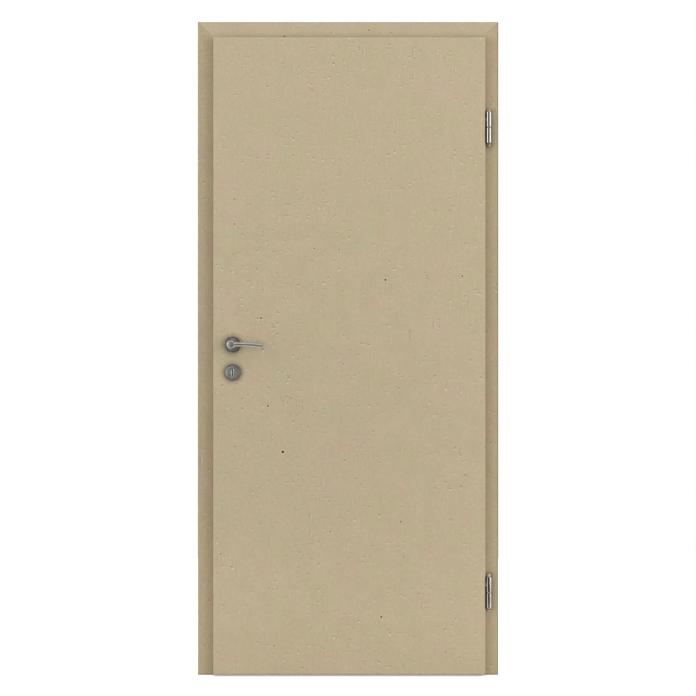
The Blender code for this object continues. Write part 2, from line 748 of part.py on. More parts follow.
def grip_solid(outward):
    """The grip, lofted from inside the hub along a drooping line to its rounded tip."""
    body = LEVER_REACH - LEVER_TIP_ROUND
    cuts = [body * i / GRIP_STEPS for i in range(GRIP_STEPS + 1)]
    tip = [math.sin(math.pi / 2 * i / ARC_STEPS) for i in range(1, ARC_STEPS)]
    cuts += [body + LEVER_TIP_ROUND * share for share in tip]

    bm = bmesh.new()
    rings = []
    for reach in cuts:
        half_height, half_depth = grip_section(reach)
        beyond = max(0, (reach - body) / LEVER_TIP_ROUND)
        edge = LEVER_TIP_ROUND * (1 - math.sqrt(1 - beyond ** 2))
        droop = (LEVER_RISE + LEVER_DROP) * (reach / LEVER_REACH) ** LEVER_DROOP_POWER - LEVER_RISE
        ring = []
        for i in range(LOFT_STEPS):
            angle = 2 * math.pi * i / LOFT_STEPS
            y = outward * (LEVER_STAND_OFF + (half_depth - edge) * math.cos(angle))
            ring.append(bm.verts.new((reach, y, (half_height - edge) * math.sin(angle) - droop)))
        rings.append(ring)
    for first, last in zip(rings, rings[1:]):
        for i in range(LOFT_STEPS):
            j = (i + 1) % LOFT_STEPS
            bm.faces.new((first[i], first[j], last[j], last[i]))
    bm.faces.new(rings[0])
    bm.faces.new(rings[-1])
    bmesh.ops.recalc_face_normals(bm, faces=bm.faces)
    return bm


def make_levers(finish, steel, axis):
    half = SPINDLE_SIZE / 2
    middle_y = (LEAF_FRONT_Y + LEAF_BACK_Y) / 2
    for side, face_y, outward in (("front", LEAF_FRONT_Y, -1), ("back", LEAF_BACK_Y, 1)):
        place = (SPINDLE_X, face_y, LEVER_HEIGHT)
        lever = make_object(f"lever_{side}", hub_solid(outward), finish, axis, place)
        join(lever, move(grip_solid(outward), place))
        ends = sorted((face_y, face_y + outward * (SPINDLE_GRIP + JOINT)))
        spare = half + JOINT
        low = (SPINDLE_X - spare, ends[0], LEVER_HEIGHT - spare)
        high = (SPINDLE_X + spare, ends[1], LEVER_HEIGHT + spare)
        cut(lever, box(low, high))
        shade(lever)
    reach = LEAF_THICKNESS / 2 + SPINDLE_GRIP
    spindle = box((-half, -reach, -half), (half, reach, half))
    make_object("handle_spindle", spindle, steel, axis, (SPINDLE_X, middle_y, LEVER_HEIGHT))


# Lock, as far as it shows at the leaf's edge
def make_lock(leaf, parent, steel):
    low = FACEPLATE_Z - FACEPLATE_LENGTH / 2
    high = FACEPLATE_Z + FACEPLATE_LENGTH / 2
    half = FACEPLATE_WIDTH / 2
    face_x = BODY_LATCH_X
    outline = [(LOCK_Y + u, v) for u, v in stadium(half, low, high, 2 * ARC_STEPS)]
    plate = make_object("lock_faceplate", prism(outline, face_x, face_x + FACEPLATE_THICKNESS, along_x),
                        steel, parent)
    outline = [(LOCK_Y + u, v) for u, v in stadium(half + JOINT, low - JOINT, high + JOINT, 2 * ARC_STEPS)]
    cut(leaf, prism(outline, face_x - GAP_LATCH / 2, face_x + FACEPLATE_THICKNESS + JOINT, along_x))

    half = LATCH_WIDTH / 2
    nose = [
        (face_x, LOCK_Y - half),
        (face_x + LATCH_NOSE_DEPTH, LOCK_Y - half / 2),
        (face_x + LATCH_SLOPE, LOCK_Y + half),
        (face_x + BOLT_LENGTH, LOCK_Y + half),
        (face_x + BOLT_LENGTH, LOCK_Y - half),
    ]
    low = LATCH_Z - LATCH_HEIGHT / 2
    high = LATCH_Z + LATCH_HEIGHT / 2
    make_object("latch_bolt", prism(nose, low, high, along_z), steel, parent)
    make_bolt_way(leaf, plate, LATCH_WIDTH, LATCH_HEIGHT, LATCH_Z)

    low = (face_x, LOCK_Y - DEAD_BOLT_WIDTH / 2, DEAD_BOLT_Z - DEAD_BOLT_HEIGHT / 2)
    high = (face_x + BOLT_LENGTH, LOCK_Y + DEAD_BOLT_WIDTH / 2, DEAD_BOLT_Z + DEAD_BOLT_HEIGHT / 2)
    make_object("dead_bolt", box(low, high), steel, parent)
    make_bolt_way(leaf, plate, DEAD_BOLT_WIDTH, DEAD_BOLT_HEIGHT, DEAD_BOLT_Z)


def make_bolt_way(leaf, plate, width, height, centre_z):
    """The way that a bolt slides in, through the faceplate and into the leaf."""
    for item in (leaf, plate):
        low = (BODY_LATCH_X - JOINT, LOCK_Y - width / 2 - JOINT, centre_z - height / 2 - JOINT)
        high = (BODY_LATCH_X + BOLT_LENGTH + JOINT, LOCK_Y + width / 2 + JOINT, centre_z + height / 2 + JOINT)
        cut(item, box(low, high))


def main():
    for item in list(bpy.data.objects):
        bpy.data.objects.remove(item, do_unlink=True)

    board = make_finish("beige_board", (0.50, 0.42, 0.29), 0.75, 0.0)
    rubber = make_finish("brown_rubber", (0.10, 0.07, 0.045), 0.70, 0.0)
    satin = make_finish("satin_metal", (0.62, 0.60, 0.57), 0.30, 1.0)
    chrome = make_finish("bright_metal", (0.80, 0.80, 0.78), 0.10, 1.0)
    steel = make_finish("plain_steel", (0.55, 0.55, 0.54), 0.35, 1.0)

    run_round("lining", lining_outline(), board)
    casing_latch, casing_hinge = run_round("casing_front", front_casing_outline(), board)
    run_round("casing_back", back_casing_outline(), board)
    run_round("seal", seal_outline(), rubber)
    make_strike(casing_latch, steel)

    leaf_axis = make_axis("leaf_axis", (HINGE_X, HINGE_Y, 0))
    handle_axis = make_axis("handle_axis", (SPINDLE_X, (LEAF_FRONT_Y + LEAF_BACK_Y) / 2, LEVER_HEIGHT))
    leaf = make_leaf(board, leaf_axis)
    for label, height in (("lower", LOWER_HINGE_Z), ("upper", UPPER_HINGE_Z)):
        make_hinge(label, height, leaf, casing_hinge, leaf_axis, chrome, steel)
    make_lock(leaf, leaf_axis, steel)
    make_roses(satin, leaf, leaf_axis)
    make_levers(satin, steel, handle_axis)
    shade(leaf)
    shade(casing_hinge)
    bpy.context.view_layer.update()


main()
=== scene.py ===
"""Looks of an interior door in its lining frame: finishes, small parts, light and camera.

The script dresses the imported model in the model's own frame: metres, +Z up, the
viewer on the -Y side, and the origin at the floor on the hinge side.
"""

import json
import math

import bmesh
import bpy
from bpy.props import FloatProperty, FloatVectorProperty, IntProperty, PointerProperty
from mathutils import Matrix, Vector


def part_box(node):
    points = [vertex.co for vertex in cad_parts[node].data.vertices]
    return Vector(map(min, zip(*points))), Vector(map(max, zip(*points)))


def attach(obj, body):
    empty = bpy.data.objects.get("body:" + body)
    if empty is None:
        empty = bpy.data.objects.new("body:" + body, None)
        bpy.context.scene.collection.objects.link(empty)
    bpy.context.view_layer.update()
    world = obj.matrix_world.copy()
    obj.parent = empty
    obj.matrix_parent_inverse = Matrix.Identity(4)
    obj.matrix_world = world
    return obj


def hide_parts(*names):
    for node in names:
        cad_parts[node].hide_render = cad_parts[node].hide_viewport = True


bl_info = {
    "name": "Interior Door Looks",
    "version": (1, 0, 0),
    "blender": (4, 5, 0),
    "location": "View3D > Sidebar > Door",
    "description": "Finishes, small parts, light and camera for an interior door",
    "category": "Object",
}

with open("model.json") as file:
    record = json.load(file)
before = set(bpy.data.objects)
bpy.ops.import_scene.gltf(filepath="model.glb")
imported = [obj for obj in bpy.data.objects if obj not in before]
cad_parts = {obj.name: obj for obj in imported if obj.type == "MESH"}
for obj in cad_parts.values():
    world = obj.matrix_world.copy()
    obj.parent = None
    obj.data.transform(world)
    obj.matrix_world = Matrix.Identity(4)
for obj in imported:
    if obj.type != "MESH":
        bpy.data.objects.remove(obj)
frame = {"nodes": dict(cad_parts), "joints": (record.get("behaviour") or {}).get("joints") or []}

# Nodes by finish
LEAF_BOARD = ("leaf",)
JAMB_BOARDS = tuple(f"{part}_{side}" for part in ("lining", "casing_front", "casing_back")
                    for side in ("latch_side", "hinge_side"))
HEAD_BOARDS = ("lining_head", "casing_front_head", "casing_back_head")
SEALS = ("seal_latch_side", "seal_hinge_side", "seal_head")
HINGES = ("lower", "upper")
SIDES = (("front", -1), ("back", 1))


# Places read from the frame
def middle(node):
    """The middle of a CAD node's box, as x, y and z."""
    return [(low + high) / 2 for low, high in zip(*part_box(node))]


AXES = {joint["name"]: Vector(joint["pos_m"]) for joint in frame["joints"]}
HINGE_AXIS = AXES["leaf_swing"]
SPINDLE = AXES["handle_turn"]
FRAME_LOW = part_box("casing_front_latch_side")[0]
FRAME_HIGH = Vector((*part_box("casing_front_hinge_side")[1][:2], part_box("casing_front_head")[1].z))
LEAF_LOW, LEAF_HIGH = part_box("leaf")
KEY_Z = middle("key_rose_front")[2]
CASING_FRONT_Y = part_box("casing_front_head")[0].y
LINING_LOW, LINING_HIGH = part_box("lining_head")
FACES = {"front": LEAF_LOW.y, "back": LEAF_HIGH.y}
# Height of each hinge's seam, where its two knuckles meet
SEAMS = {label: middle(f"hinge_{label}_pin")[2] for label in HINGES}
# Clearance of a piece that seats in or on another, and the distance at which two points are one
GAP = 0.0003
WELD = 1e-6


# Settings that a user would change
def colour_value(name, description, default):
    return FloatVectorProperty(name=name, description=description, subtype="COLOR", min=0, max=1,
                               default=default)


def length_value(name, description, default, low, high):
    return FloatProperty(name=name, description=description, unit="LENGTH", min=low, max=high,
                         default=default)


def pair_value(name, description, default):
    return FloatVectorProperty(name=name, description=description, unit="LENGTH", size=2, default=default)


def share_value(name, description, default):
    return FloatProperty(name=name, description=description, subtype="FACTOR", min=0, max=1,
                         default=default)


def power_value(name, description, default):
    return FloatProperty(name=name, description=description, unit="POWER", min=0, max=2000,
                         default=default)


def number_value(name, description, default, low, high):
    return FloatProperty(name=name, description=description, min=low, max=high, default=default)


class BoardSettings(bpy.types.PropertyGroup):
    """Raw fibreboard."""

    colour: colour_value("Board", "Main colour of the raw board", (0.524, 0.430, 0.283))
    warm: colour_value("Warm blotches", "Colour of the pinkish areas", (0.547, 0.426, 0.299))
    cool: colour_value("Cool blotches", "Colour of the greenish areas", (0.499, 0.434, 0.272))
    flake: colour_value("Light flakes", "Colour of the pale wood flakes", (0.710, 0.615, 0.455))
    # Painted shade: this colour is painted beside each flake and fibre, in place of the shade in the hollow
    # next to it
    pit_shade: colour_value("Pits", "Colour of the small pits beside the flakes", (0.285, 0.222, 0.132))
    speck: colour_value("Bark specks", "Colour of the dark bark specks", (0.060, 0.043, 0.025))
    core: colour_value("Core", "Colour of the board's cut core", (0.400, 0.300, 0.175))
    # Painted shade: the upright boards are a darker, warmer copy of the same board, in place of the lower
    # light on the jambs beside the leaf
    jamb_shade_tint: FloatVectorProperty(
        name="Jamb tint",
        description="Share of the main colours that the upright boards beside the leaf have",
        min=0.3, max=1.5, default=(0.908, 0.883, 0.832))
    chip_spacing: length_value(
        "Chip spacing", "Distance from one fine chip to the next", 0.0065, 0.001, 0.05)
    flake_spacing: length_value(
        "Flake spacing", "Distance from one pale flake to the next", 0.0160, 0.003, 0.1)
    dash_spacing: length_value(
        "Fibre spacing", "Distance from one loose fibre to the next", 0.016, 0.003, 0.1)
    speck_spacing: length_value(
        "Speck spacing", "Distance from one bark speck to the next", 0.040, 0.01, 0.5)


class MetalSettings(bpy.types.PropertyGroup):
    """Levers, roses, hinges and lock."""

    satin: colour_value("Satin metal", "Colour of the levers", (0.455, 0.450, 0.412))
    # Painted shade: the lever roses are a darker copy of the key roses' metal, in place of the shade that the
    # levers' hubs cast on them
    lever_rose: colour_value(
        "Lever roses", "Colour of the roses behind the levers", (0.305, 0.286, 0.276))
    key_rose: colour_value("Key roses", "Colour of the roses with the keyholes", (0.370, 0.370, 0.338))
    satin_roughness: share_value("Satin roughness", "Roughness of the levers and roses", 0.40)
    bright: colour_value("Bright metal", "Colour of the hinges", (0.350, 0.347, 0.303))
    bright_roughness: share_value("Bright roughness", "Roughness of the hinges", 0.11)
    # Partly painted reflection: the caps' brownish tone stands in for the tan boards that they mirror
    cap: colour_value("Dull metal", "Colour of the hinges' domed caps", (0.42, 0.38, 0.30))
    cap_roughness: share_value("Dull roughness", "Roughness of the hinges' domed caps", 0.34)
    plain: colour_value("Plated steel", "Colour of the lock and strike plate", (0.56, 0.56, 0.55))
    plain_roughness: share_value("Steel roughness", "Roughness of the lock and strike plate", 0.33)


class LeverSettings(bpy.types.PropertyGroup):
    """The lever handles and roses, which fill the same space as the solids."""

    reach: length_value("Reach", "From the spindle to the lever's tip", 0.1024, 0.05, 0.2)
    stand_off: length_value("Stand-off", "From the leaf to the middle of the grip", 0.050, 0.03, 0.08)
    neck_radius: length_value("Neck", "Radius of the neck in its rose", 0.0105, 0.005, 0.02)
    neck_inset: length_value("Inset", "Depth of the neck inside its rose", 0.004, 0.0, 0.008)
    neck_straight: length_value(
        "Straight neck", "From the rose to the start of the flare", 0.005, 0.0, 0.02)
    hub_radius: length_value("Hub", "Radius of the hub behind its front", 0.0129, 0.008, 0.025)
    hub_flare: length_value("Flare", "Length of the flare from neck to hub", 0.022, 0.005, 0.04)
    hub_edge: length_value("Hub edge", "Rounding of the hub's front edge", 0.0042, 0.0005, 0.01)
    hub_dome: length_value("Hub dome", "Rise of the hub's front towards its middle", 0.0006, 0.0, 0.003)
    rise: length_value(
        "Rise", "Height of the grip's middle above the spindle's line, at its root", 0.0005, 0.0, 0.01)
    drop: length_value(
        "Drop", "Depth of the grip's middle below the spindle's line, at its tip", 0.0056, 0.0, 0.02)
    droop_power: number_value(
        "Droop", "How late the grip bends down: higher bends nearer the tip", 3, 1, 6)
    tip_round: length_value("Tip rounding", "Radius of the rounded tip", 0.0035, 0.0005, 0.008)
    root: pair_value(
        "Grip root", "Half height and half depth of the grip at the spindle's line", (0.0077, 0.0070))
    waist: pair_value(
        "Grip waist", "Half height and half depth of the grip at its waist", (0.0069, 0.0062))
    tip: pair_value("Grip tip", "Half height and half depth of the grip at its tip", (0.0066, 0.0052))
    waist_reach: length_value(
        "Waist place", "From the spindle's line to the grip's waist", 0.034, 0.01, 0.08)
    sides: IntProperty(
        name="Sides",
        description="Points round the lever's section",
        min=16, max=128, default=56)
    rose_radius: length_value("Rose", "Radius of the roses", 0.025, 0.015, 0.04)
    rose_height: length_value(
        "Rose height", "How far the lever's rose stands off the leaf", 0.008, 0.002, 0.02)
    key_rose_height: length_value(
        "Key rose height", "How far the key's rose stands off the leaf", 0.007, 0.002, 0.02)


class HingeSettings(bpy.types.PropertyGroup):
    """The screw-in hinges, which fill the same space as the solids."""

    radius: length_value("Knuckle", "Radius of the knuckles", 0.0085, 0.004, 0.015)
    length: length_value("Knuckle length", "Length of one knuckle", 0.050, 0.02, 0.1)
    edge: length_value("Knuckle edge", "Rounding of the knuckles' ends", 0.0018, 0.0001, 0.003)
    peg_radius: length_value(
        "Peg", "Radius of the pegs that screw into leaf and frame", 0.004, 0.002, 0.006)
    cap_radius: length_value("Cap", "Radius of the ball caps", 0.0064, 0.003, 0.012)
    cap_height: length_value(
        "Cap height", "Height of the ball caps with their necks", 0.0112, 0.002, 0.02)
    cap_neck_radius: length_value("Cap neck", "Radius of the neck under a ball cap", 0.0048, 0.002, 0.01)
    cap_neck_height: length_value(
        "Cap neck height", "Height of the neck under a ball cap", 0.0022, 0.0005, 0.01)
    cap_undercut: length_value("Cap undercut", "Height of the ball's underside", 0.0016, 0.0005, 0.01)
    thread_pitch: length_value(
        "Thread pitch", "From one turn of the pegs' thread to the next", 0.0016, 0.0005, 0.004)


class StageSettings(bpy.types.PropertyGroup):
    """Floor, lamps and camera."""

    camera_distance: length_value("Camera distance", "From the casing's front to the camera", 3.6, 1, 20)
    camera_height: length_value("Camera height", "Height of the camera above the floor", 1.0371, 0.1, 3)
    camera_side: length_value("Camera place", "Place of the camera along the wall", -0.4252, -5, 5)
    view_width: length_value(
        "View width", "Width that the picture takes in at the casing's front", 2.2088, 0.5, 10)
    left_power: power_value("Left lamp", "Power of the soft lamp at the left", 94)
    right_power: power_value("Right lamp", "Power of the narrower lamp at the right", 106)
    rear_power: power_value("Rear lamp", "Power of the soft lamp behind the door", 95)
    top_power: power_value("Top lamp", "Power of the lamp above and in front", 37)
    room_light: number_value("Room light", "Strength of the even light all round", 0.35, 0, 2)


SETTINGS = {
    "door_board": BoardSettings,
    "door_metal": MetalSettings,
    "door_lever": LeverSettings,
    "door_hinge": HingeSettings,
    "door_stage": StageSettings,
}


# Node trees
class Nodes:
    """Adds nodes to a tree. A value that is a socket is linked, and any other value is set."""

    def __init__(self, tree):
        self.tree = tree

    def put(self, value, socket):
        if isinstance(value, bpy.types.NodeSocket):
            self.tree.links.new(value, socket)
        else:
            socket.default_value = value

    def add(self, kind, values=None, **settings):
        node = self.tree.nodes.new(kind)
        for name, value in settings.items():
            setattr(node, name, value)
        for name, value in (values or {}).items():
            self.put(value, node.inputs[name])
        return node

    def math(self, operation, *values, clamp=False):
        node = self.add("ShaderNodeMath", dict(enumerate(values)), operation=operation, use_clamp=clamp)
        return node.outputs[0]

    def plus(self, first, second):
        return self.math("ADD", first, second)

    def less(self, first, second, clamp=False):
        return self.math("SUBTRACT", first, second, clamp=clamp)

    def times(self, first, second):
        return self.math("MULTIPLY", first, second)

    def most(self, first, second):
        return self.math("MAXIMUM", first, second)

    def blend(self, first, first_share, second, second_share):
        return self.plus(self.times(first, first_share), self.times(second, second_share))

    def vector(self, operation, *values):
        node = self.add("ShaderNodeVectorMath", dict(enumerate(values)), operation=operation)
        return node.outputs["Value" if operation in ("LENGTH", "DISTANCE") else "Vector"]

    def own_place(self):
        """The place in the object's own frame, in metres."""
        return self.add("ShaderNodeTexCoord").outputs["Object"]

    def mapping(self, vector, **values):
        inputs = {key.capitalize(): value for key, value in values.items()}
        return self.add("ShaderNodeMapping", {"Vector": vector, **inputs}).outputs[0]

    def noise(self, vector, scale, detail=2.0, roughness=0.5):
        values = {"Vector": vector, "Scale": scale, "Detail": detail, "Roughness": roughness}
        return self.add("ShaderNodeTexNoise", values).outputs["Fac"]

    def cells(self, vector, scale, smooth_shape=False):
        """Distance from the nearest cell centre, in cells, and the cell's own random colour."""
        distance = "EUCLIDEAN" if smooth_shape else "MANHATTAN"
        node = self.add("ShaderNodeTexVoronoi", {"Vector": vector, "Scale": scale}, distance=distance)
        return node.outputs["Distance"], node.outputs["Color"]

    def step(self, value, low, high, first=0.0, last=1.0):
        """A smooth step from first to last as the value goes from low to high."""
        values = {"Value": value, "From Min": low, "From Max": high, "To Min": first, "To Max": last}
        return self.add("ShaderNodeMapRange", values, interpolation_type="SMOOTHSTEP").outputs[0]

    def fade(self, value, low, high, full=1.0):
        """A smooth step down from full to 0 as the value goes from low to high."""
        return self.step(value, low, high, full, 0.0)

    def mix(self, share, first, second, blend="MIX"):
        node = self.add("ShaderNodeMix", data_type="RGBA", blend_type=blend)
        self.put(share, node.inputs[0])
        colours = [socket for socket in node.inputs if socket.type == "RGBA"]
        for socket, value in zip(colours, (first, second)):
            self.put(value if isinstance(value, bpy.types.NodeSocket) else (*value[:3], 1.0), socket)
        return next(socket for socket in node.outputs if socket.type == "RGBA")

    def split(self, vector):
        return self.add("ShaderNodeSeparateXYZ", {"Vector": vector}).outputs

    def flat(self, vector):
        """The vector as seen from the front: its x and z, with y at 0."""
        parts = self.split(vector)
        return self.add("ShaderNodeCombineXYZ", {"X": parts["X"], "Z": parts["Z"]}).outputs[0]

    def bump(self, height, strength, distance):
        values = {"Height": height, "Strength": strength, "Distance": distance}
        return self.add("ShaderNodeBump", values).outputs[0]


def shaded(colour, share):
    return tuple(min(1.0, channel * share) for channel in colour)


def new_material(name, even):
    """A material with one shader. Values that are even all over are set on the shader itself."""
    material = bpy.data.materials.new(name)
    material.use_nodes = True
    nodes = Nodes(material.node_tree)
    shader = material.node_tree.nodes["Principled BSDF"]
    for label, value in even.items():
        shader.inputs[label].default_value = value
    return material, nodes, shader


def connect(nodes, shader, **sockets):
    names = {"colour": "Base Color", "roughness": "Roughness", "normal": "Normal"}
    for key, socket in sockets.items():
        nodes.tree.links.new(socket, shader.inputs[names[key]])


def set_finish(names, material):
    for name in names:
        mesh = frame["nodes"][name].data
        mesh.materials.clear()
        mesh.materials.append(material)


# Meshes
SMOOTH_ANGLE = math.radians(32)
FLAT_ANGLE = math.radians(1)
BEVEL_STEPS = 3
ROUND_STEPS = 6
TURN_STEPS = 72


def add_object(name, data):
    item = bpy.data.objects.new(name, data)
    bpy.context.scene.collection.objects.link(item)
    return item


def mesh_from(name, bm):
    mesh = bpy.data.meshes.new(name)
    bm.to_mesh(mesh)
    bm.free()
    return mesh


def join(bm, other):
    """Add another shape to this one, and free the other."""
    part = mesh_from("part", other)
    bm.from_mesh(part)
    bpy.data.meshes.remove(part)


def piece_from(name, bm, material, body, replaced=()):
    return finish_piece(name, mesh_from(name, bm), material, body, replaced)


def finish_piece(name, mesh, material, body, replaced=()):
    """A finished piece: smooth with crisp edges, on its body and in its slot."""
    mesh.name = name
    mesh.shade_smooth()
    mesh.set_sharp_from_angle(angle=SMOOTH_ANGLE)
    mesh.materials.clear()
    mesh.materials.append(material)
    piece = add_object(name, mesh)
    even = piece.modifiers.new("even_shading", "WEIGHTED_NORMAL")
    even.keep_sharp = True
    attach(piece, body)
    if replaced:
        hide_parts(*replaced)
    return piece


def soft_copy(node, material, body, edge):
    """A CAD node's shape with its hard edges eased."""
    bm = bmesh.new()
    bm.from_mesh(frame["nodes"][node].data)
    bmesh.ops.remove_doubles(bm, verts=bm.verts, dist=WELD)
    bmesh.ops.dissolve_limit(bm, angle_limit=FLAT_ANGLE, verts=bm.verts, edges=bm.edges)
    hard = [e for e in bm.edges if e.is_manifold and e.calc_face_angle() > SMOOTH_ANGLE]
    bmesh.ops.bevel(bm, geom=hard, offset=edge, segments=BEVEL_STEPS, profile=0.5, affect="EDGES",
                    clamp_overlap=True)
    return piece_from(f"{node}_finish", bm, material, body, (node,))


def rounded(corners):
    """An outline from (u, v, radius) corners, each radius above zero drawn as an arc."""
    points = []
    count = len(corners)
    for i, (u, v, radius) in enumerate(corners):
        here = Vector((u, v))
        if radius <= 0:
            points.append(tuple(here))
            continue
        before = (Vector(corners[i - 1][:2]) - here).normalized()
        after = (Vector(corners[(i + 1) % count][:2]) - here).normalized()
        half = before.angle(after) / 2
        centre = here + (before + after).normalized() * radius / math.sin(half)
        spoke = here + before * radius / math.tan(half) - centre
        turn = math.copysign(math.pi - 2 * half, -before.cross(after))
        for step in range(ROUND_STEPS + 1):
            points.append(tuple(centre + Matrix.Rotation(turn * step / ROUND_STEPS, 2) @ spoke))
    return points


def arc(first, sweep, steps):
    """Angles from the first one round a sweep, both ends included."""
    return [first + sweep * i / steps for i in range(steps + 1)]


def stadium(half_width, half_height, steps=16):
    """An upright slot outline with round ends."""
    points = []
    for middle_v, first in ((half_width - half_height, math.pi), (half_height - half_width, 0)):
        for angle in arc(first, math.pi, steps):
            points.append((half_width * math.cos(angle), middle_v + half_width * math.sin(angle)))
    return points


def circle(radius, steps=TURN_STEPS):
    angles = arc(0, 2 * math.pi, steps)[:-1]
    return [(radius * math.cos(angle), radius * math.sin(angle)) for angle in angles]


def wall(bm, first, last):
    """Faces between two loops. Either may be a pole, which is a loop of one point."""
    count = max(len(first), len(last))
    for i in range(count):
        j = (i + 1) % count
        face = (first[i % len(first)], first[j % len(first)], last[j % len(last)], last[i % len(last)])
        bm.faces.new(list(dict.fromkeys(face)))


def walls(bm, loops):
    for first, last in zip(loops, loops[1:]):
        wall(bm, first, last)


def loop(bm, outline, height):
    return [bm.verts.new((u, v, height)) for u, v in outline]


def cover(bm, *loops):
    """A flat face between an outline and any holes in it."""
    edges = []
    for verts in loops:
        for first, last in zip(verts, verts[1:] + verts[:1]):
            edges.append(bm.edges.get((first, last)) or bm.edges.new((first, last)))
    bmesh.ops.triangle_fill(bm, use_beauty=True, edges=edges)


def turned(profile, steps=TURN_STEPS):
    """A solid turned round local Z from (radius, height) points.

    A profile that starts and ends on the axis is closed by its poles;
    any other profile is a closed loop, and makes a ring.
    """
    bm = bmesh.new()
    rings = []
    for radius, height in profile:
        rings.append(loop(bm, circle(radius, steps) if radius > WELD else [(0, 0)], height))
    walls(bm, rings)
    if len(rings[0]) > 1:
        wall(bm, rings[-1], rings[0])
    return bm


def stand(bm, place, direction):
    """Turn a shape's local Z to a direction, move it to its place, and point its faces out."""
    turn = Vector((0, 0, 1)).rotation_difference(Vector(direction)).to_matrix()
    bmesh.ops.rotate(bm, matrix=turn, verts=bm.verts)
    bmesh.ops.translate(bm, vec=Vector(place), verts=bm.verts)
    bmesh.ops.recalc_face_normals(bm, faces=bm.faces)
    return bm


# Geometry Nodes
RING_POINTS = 64
WIRE_POINTS = 12
THREAD_POINTS = 32
THREAD_SIDES = 4
BEND_POINTS = 8


class Pattern(Nodes):
    """A Geometry Nodes tree with named inputs, whose result is one plain mesh."""

    KINDS = {
        float: "NodeSocketFloat",
        bpy.types.Object: "NodeSocketObject",
        bpy.types.Material: "NodeSocketMaterial",
    }

    def __init__(self, name, **values):
        super().__init__(bpy.data.node_groups.new(name, "GeometryNodeTree"))
        self.values = values
        sockets = self.tree.interface
        sockets.new_socket("Geometry", in_out="INPUT", socket_type="NodeSocketGeometry")
        for label, value in values.items():
            kind = next(kind for base, kind in self.KINDS.items() if isinstance(value, base))
            sockets.new_socket(label.replace("_", " ").capitalize(), in_out="INPUT", socket_type=kind)
        sockets.new_socket("Geometry", in_out="OUTPUT", socket_type="NodeSocketGeometry")
        self.entry = self.add("NodeGroupInput")

    def given(self, label):
        return self.entry.outputs[label.replace("_", " ").capitalize()]

    def place(self, shape):
        """The shape on every point that the tree is given, its Z along the point's facing."""
        facing = self.add("GeometryNodeInputNamedAttribute", {"Name": "facing"}, data_type="FLOAT_VECTOR")
        values = {"Vector": facing.outputs["Attribute"]}
        turn = self.add("FunctionNodeAlignRotationToVector", values, axis="Z")
        values = {"Points": self.entry.outputs[0], "Instance": shape, "Rotation": turn.outputs[0]}
        return self.add("GeometryNodeInstanceOnPoints", values).outputs[0]

    def finish(self, shape, points):
        """Run the tree on the points, and return the result as a mesh."""
        whole = self.add("GeometryNodeRealizeInstances", {"Geometry": shape}).outputs[0]
        values = {"Geometry": whole, "Material": self.given("material")}
        dressed = self.add("GeometryNodeSetMaterial", values)
        result = self.add("NodeGroupOutput")
        self.tree.links.new(dressed.outputs[0], result.inputs[0])

        holder = add_object(self.tree.name, points)
        step = holder.modifiers.new("set_out", "NODES")
        step.node_group = self.tree
        for socket in self.tree.interface.items_tree:
            label = socket.name.lower().replace(" ", "_")
            if socket.in_out == "INPUT" and label in self.values:
                step[socket.identifier] = self.values[label]
        graph = bpy.context.evaluated_depsgraph_get()
        mesh = bpy.data.meshes.new_from_object(holder.evaluated_get(graph))
        holder.modifiers.clear()
        bpy.data.objects.remove(holder)
        bpy.data.meshes.remove(points)
        if not mesh.polygons:
            raise RuntimeError(f"{self.tree.name} made no faces")
        return mesh


def facing_points(places):
    """A mesh of points from (place, facing) pairs."""
    mesh = bpy.data.meshes.new("points")
    mesh.from_pydata([tuple(place) for place, facing in places], [], [])
    facings = mesh.attributes.new("facing", "FLOAT_VECTOR", "POINT")
    for i, (place, facing) in enumerate(places):
        facings.data[i].vector = facing
    return mesh


def swept(tree, path, profile):
    """A tube that follows a path."""
    values = {"Curve": path, "Profile Curve": profile, "Fill Caps": True}
    return tree.add("GeometryNodeCurveToMesh", values).outputs[0]


def round_line(tree, radius, points):
    """A circle whose radius is one of the tree's inputs."""
    values = {"Resolution": points, "Radius": tree.given(radius)}
    return tree.add("GeometryNodeCurvePrimitiveCircle", values).outputs[0]


def set_rings(name, radius, wire, material, places):
    """Round wire rings."""
    tree = Pattern(name, radius=radius, wire=wire, material=material)
    shape = swept(tree, round_line(tree, "radius", RING_POINTS), round_line(tree, "wire", WIRE_POINTS))
    return tree.finish(tree.place(shape), facing_points(places))


def set_threads(name, radius, depth, pitch, length, material, places):
    """Screw threads wound round a shank, from each place along its facing."""
    tree = Pattern(name, radius=radius, depth=depth, turns=length / pitch, length=length,
                   material=material)
    radius = tree.given("radius")
    values = {"Resolution": THREAD_POINTS, "Rotations": tree.given("turns"), "Start Radius": radius,
              "End Radius": radius, "Height": tree.given("length")}
    line = tree.add("GeometryNodeCurveSpiral", values).outputs[0]
    shape = swept(tree, line, round_line(tree, "depth", THREAD_SIDES))
    return tree.finish(tree.place(shape), facing_points(places))


def set_strip(name, section, bend, material, path):
    """A strip with a set section, run along a path with rounded corners."""
    tree = Pattern(name, section=section, bend=bend, material=material)
    line = tree.add("GeometryNodeMeshToCurve", {"Mesh": tree.entry.outputs[0]}).outputs[0]
    values = {"Curve": line, "Count": BEND_POINTS, "Radius": tree.given("bend"), "Limit Radius": True}
    line = tree.add("GeometryNodeFilletCurve", values, mode="POLY").outputs[0]
    outline = tree.add("GeometryNodeObjectInfo", {"Object": tree.given("section")}).outputs["Geometry"]
    outline = tree.add("GeometryNodeMeshToCurve", {"Mesh": outline}).outputs[0]
    mesh = tree.finish(swept(tree, line, outline), path)
    bpy.data.objects.remove(section)
    return mesh


def set_parts(name, template, material, places):
    """A small part set on every place."""
    tree = Pattern(name, part=template, material=material)
    shape = tree.add("GeometryNodeObjectInfo", {"Object": tree.given("part")}).outputs["Geometry"]
    mesh = tree.finish(tree.place(shape), facing_points(places))
    bpy.data.objects.remove(template)
    return mesh


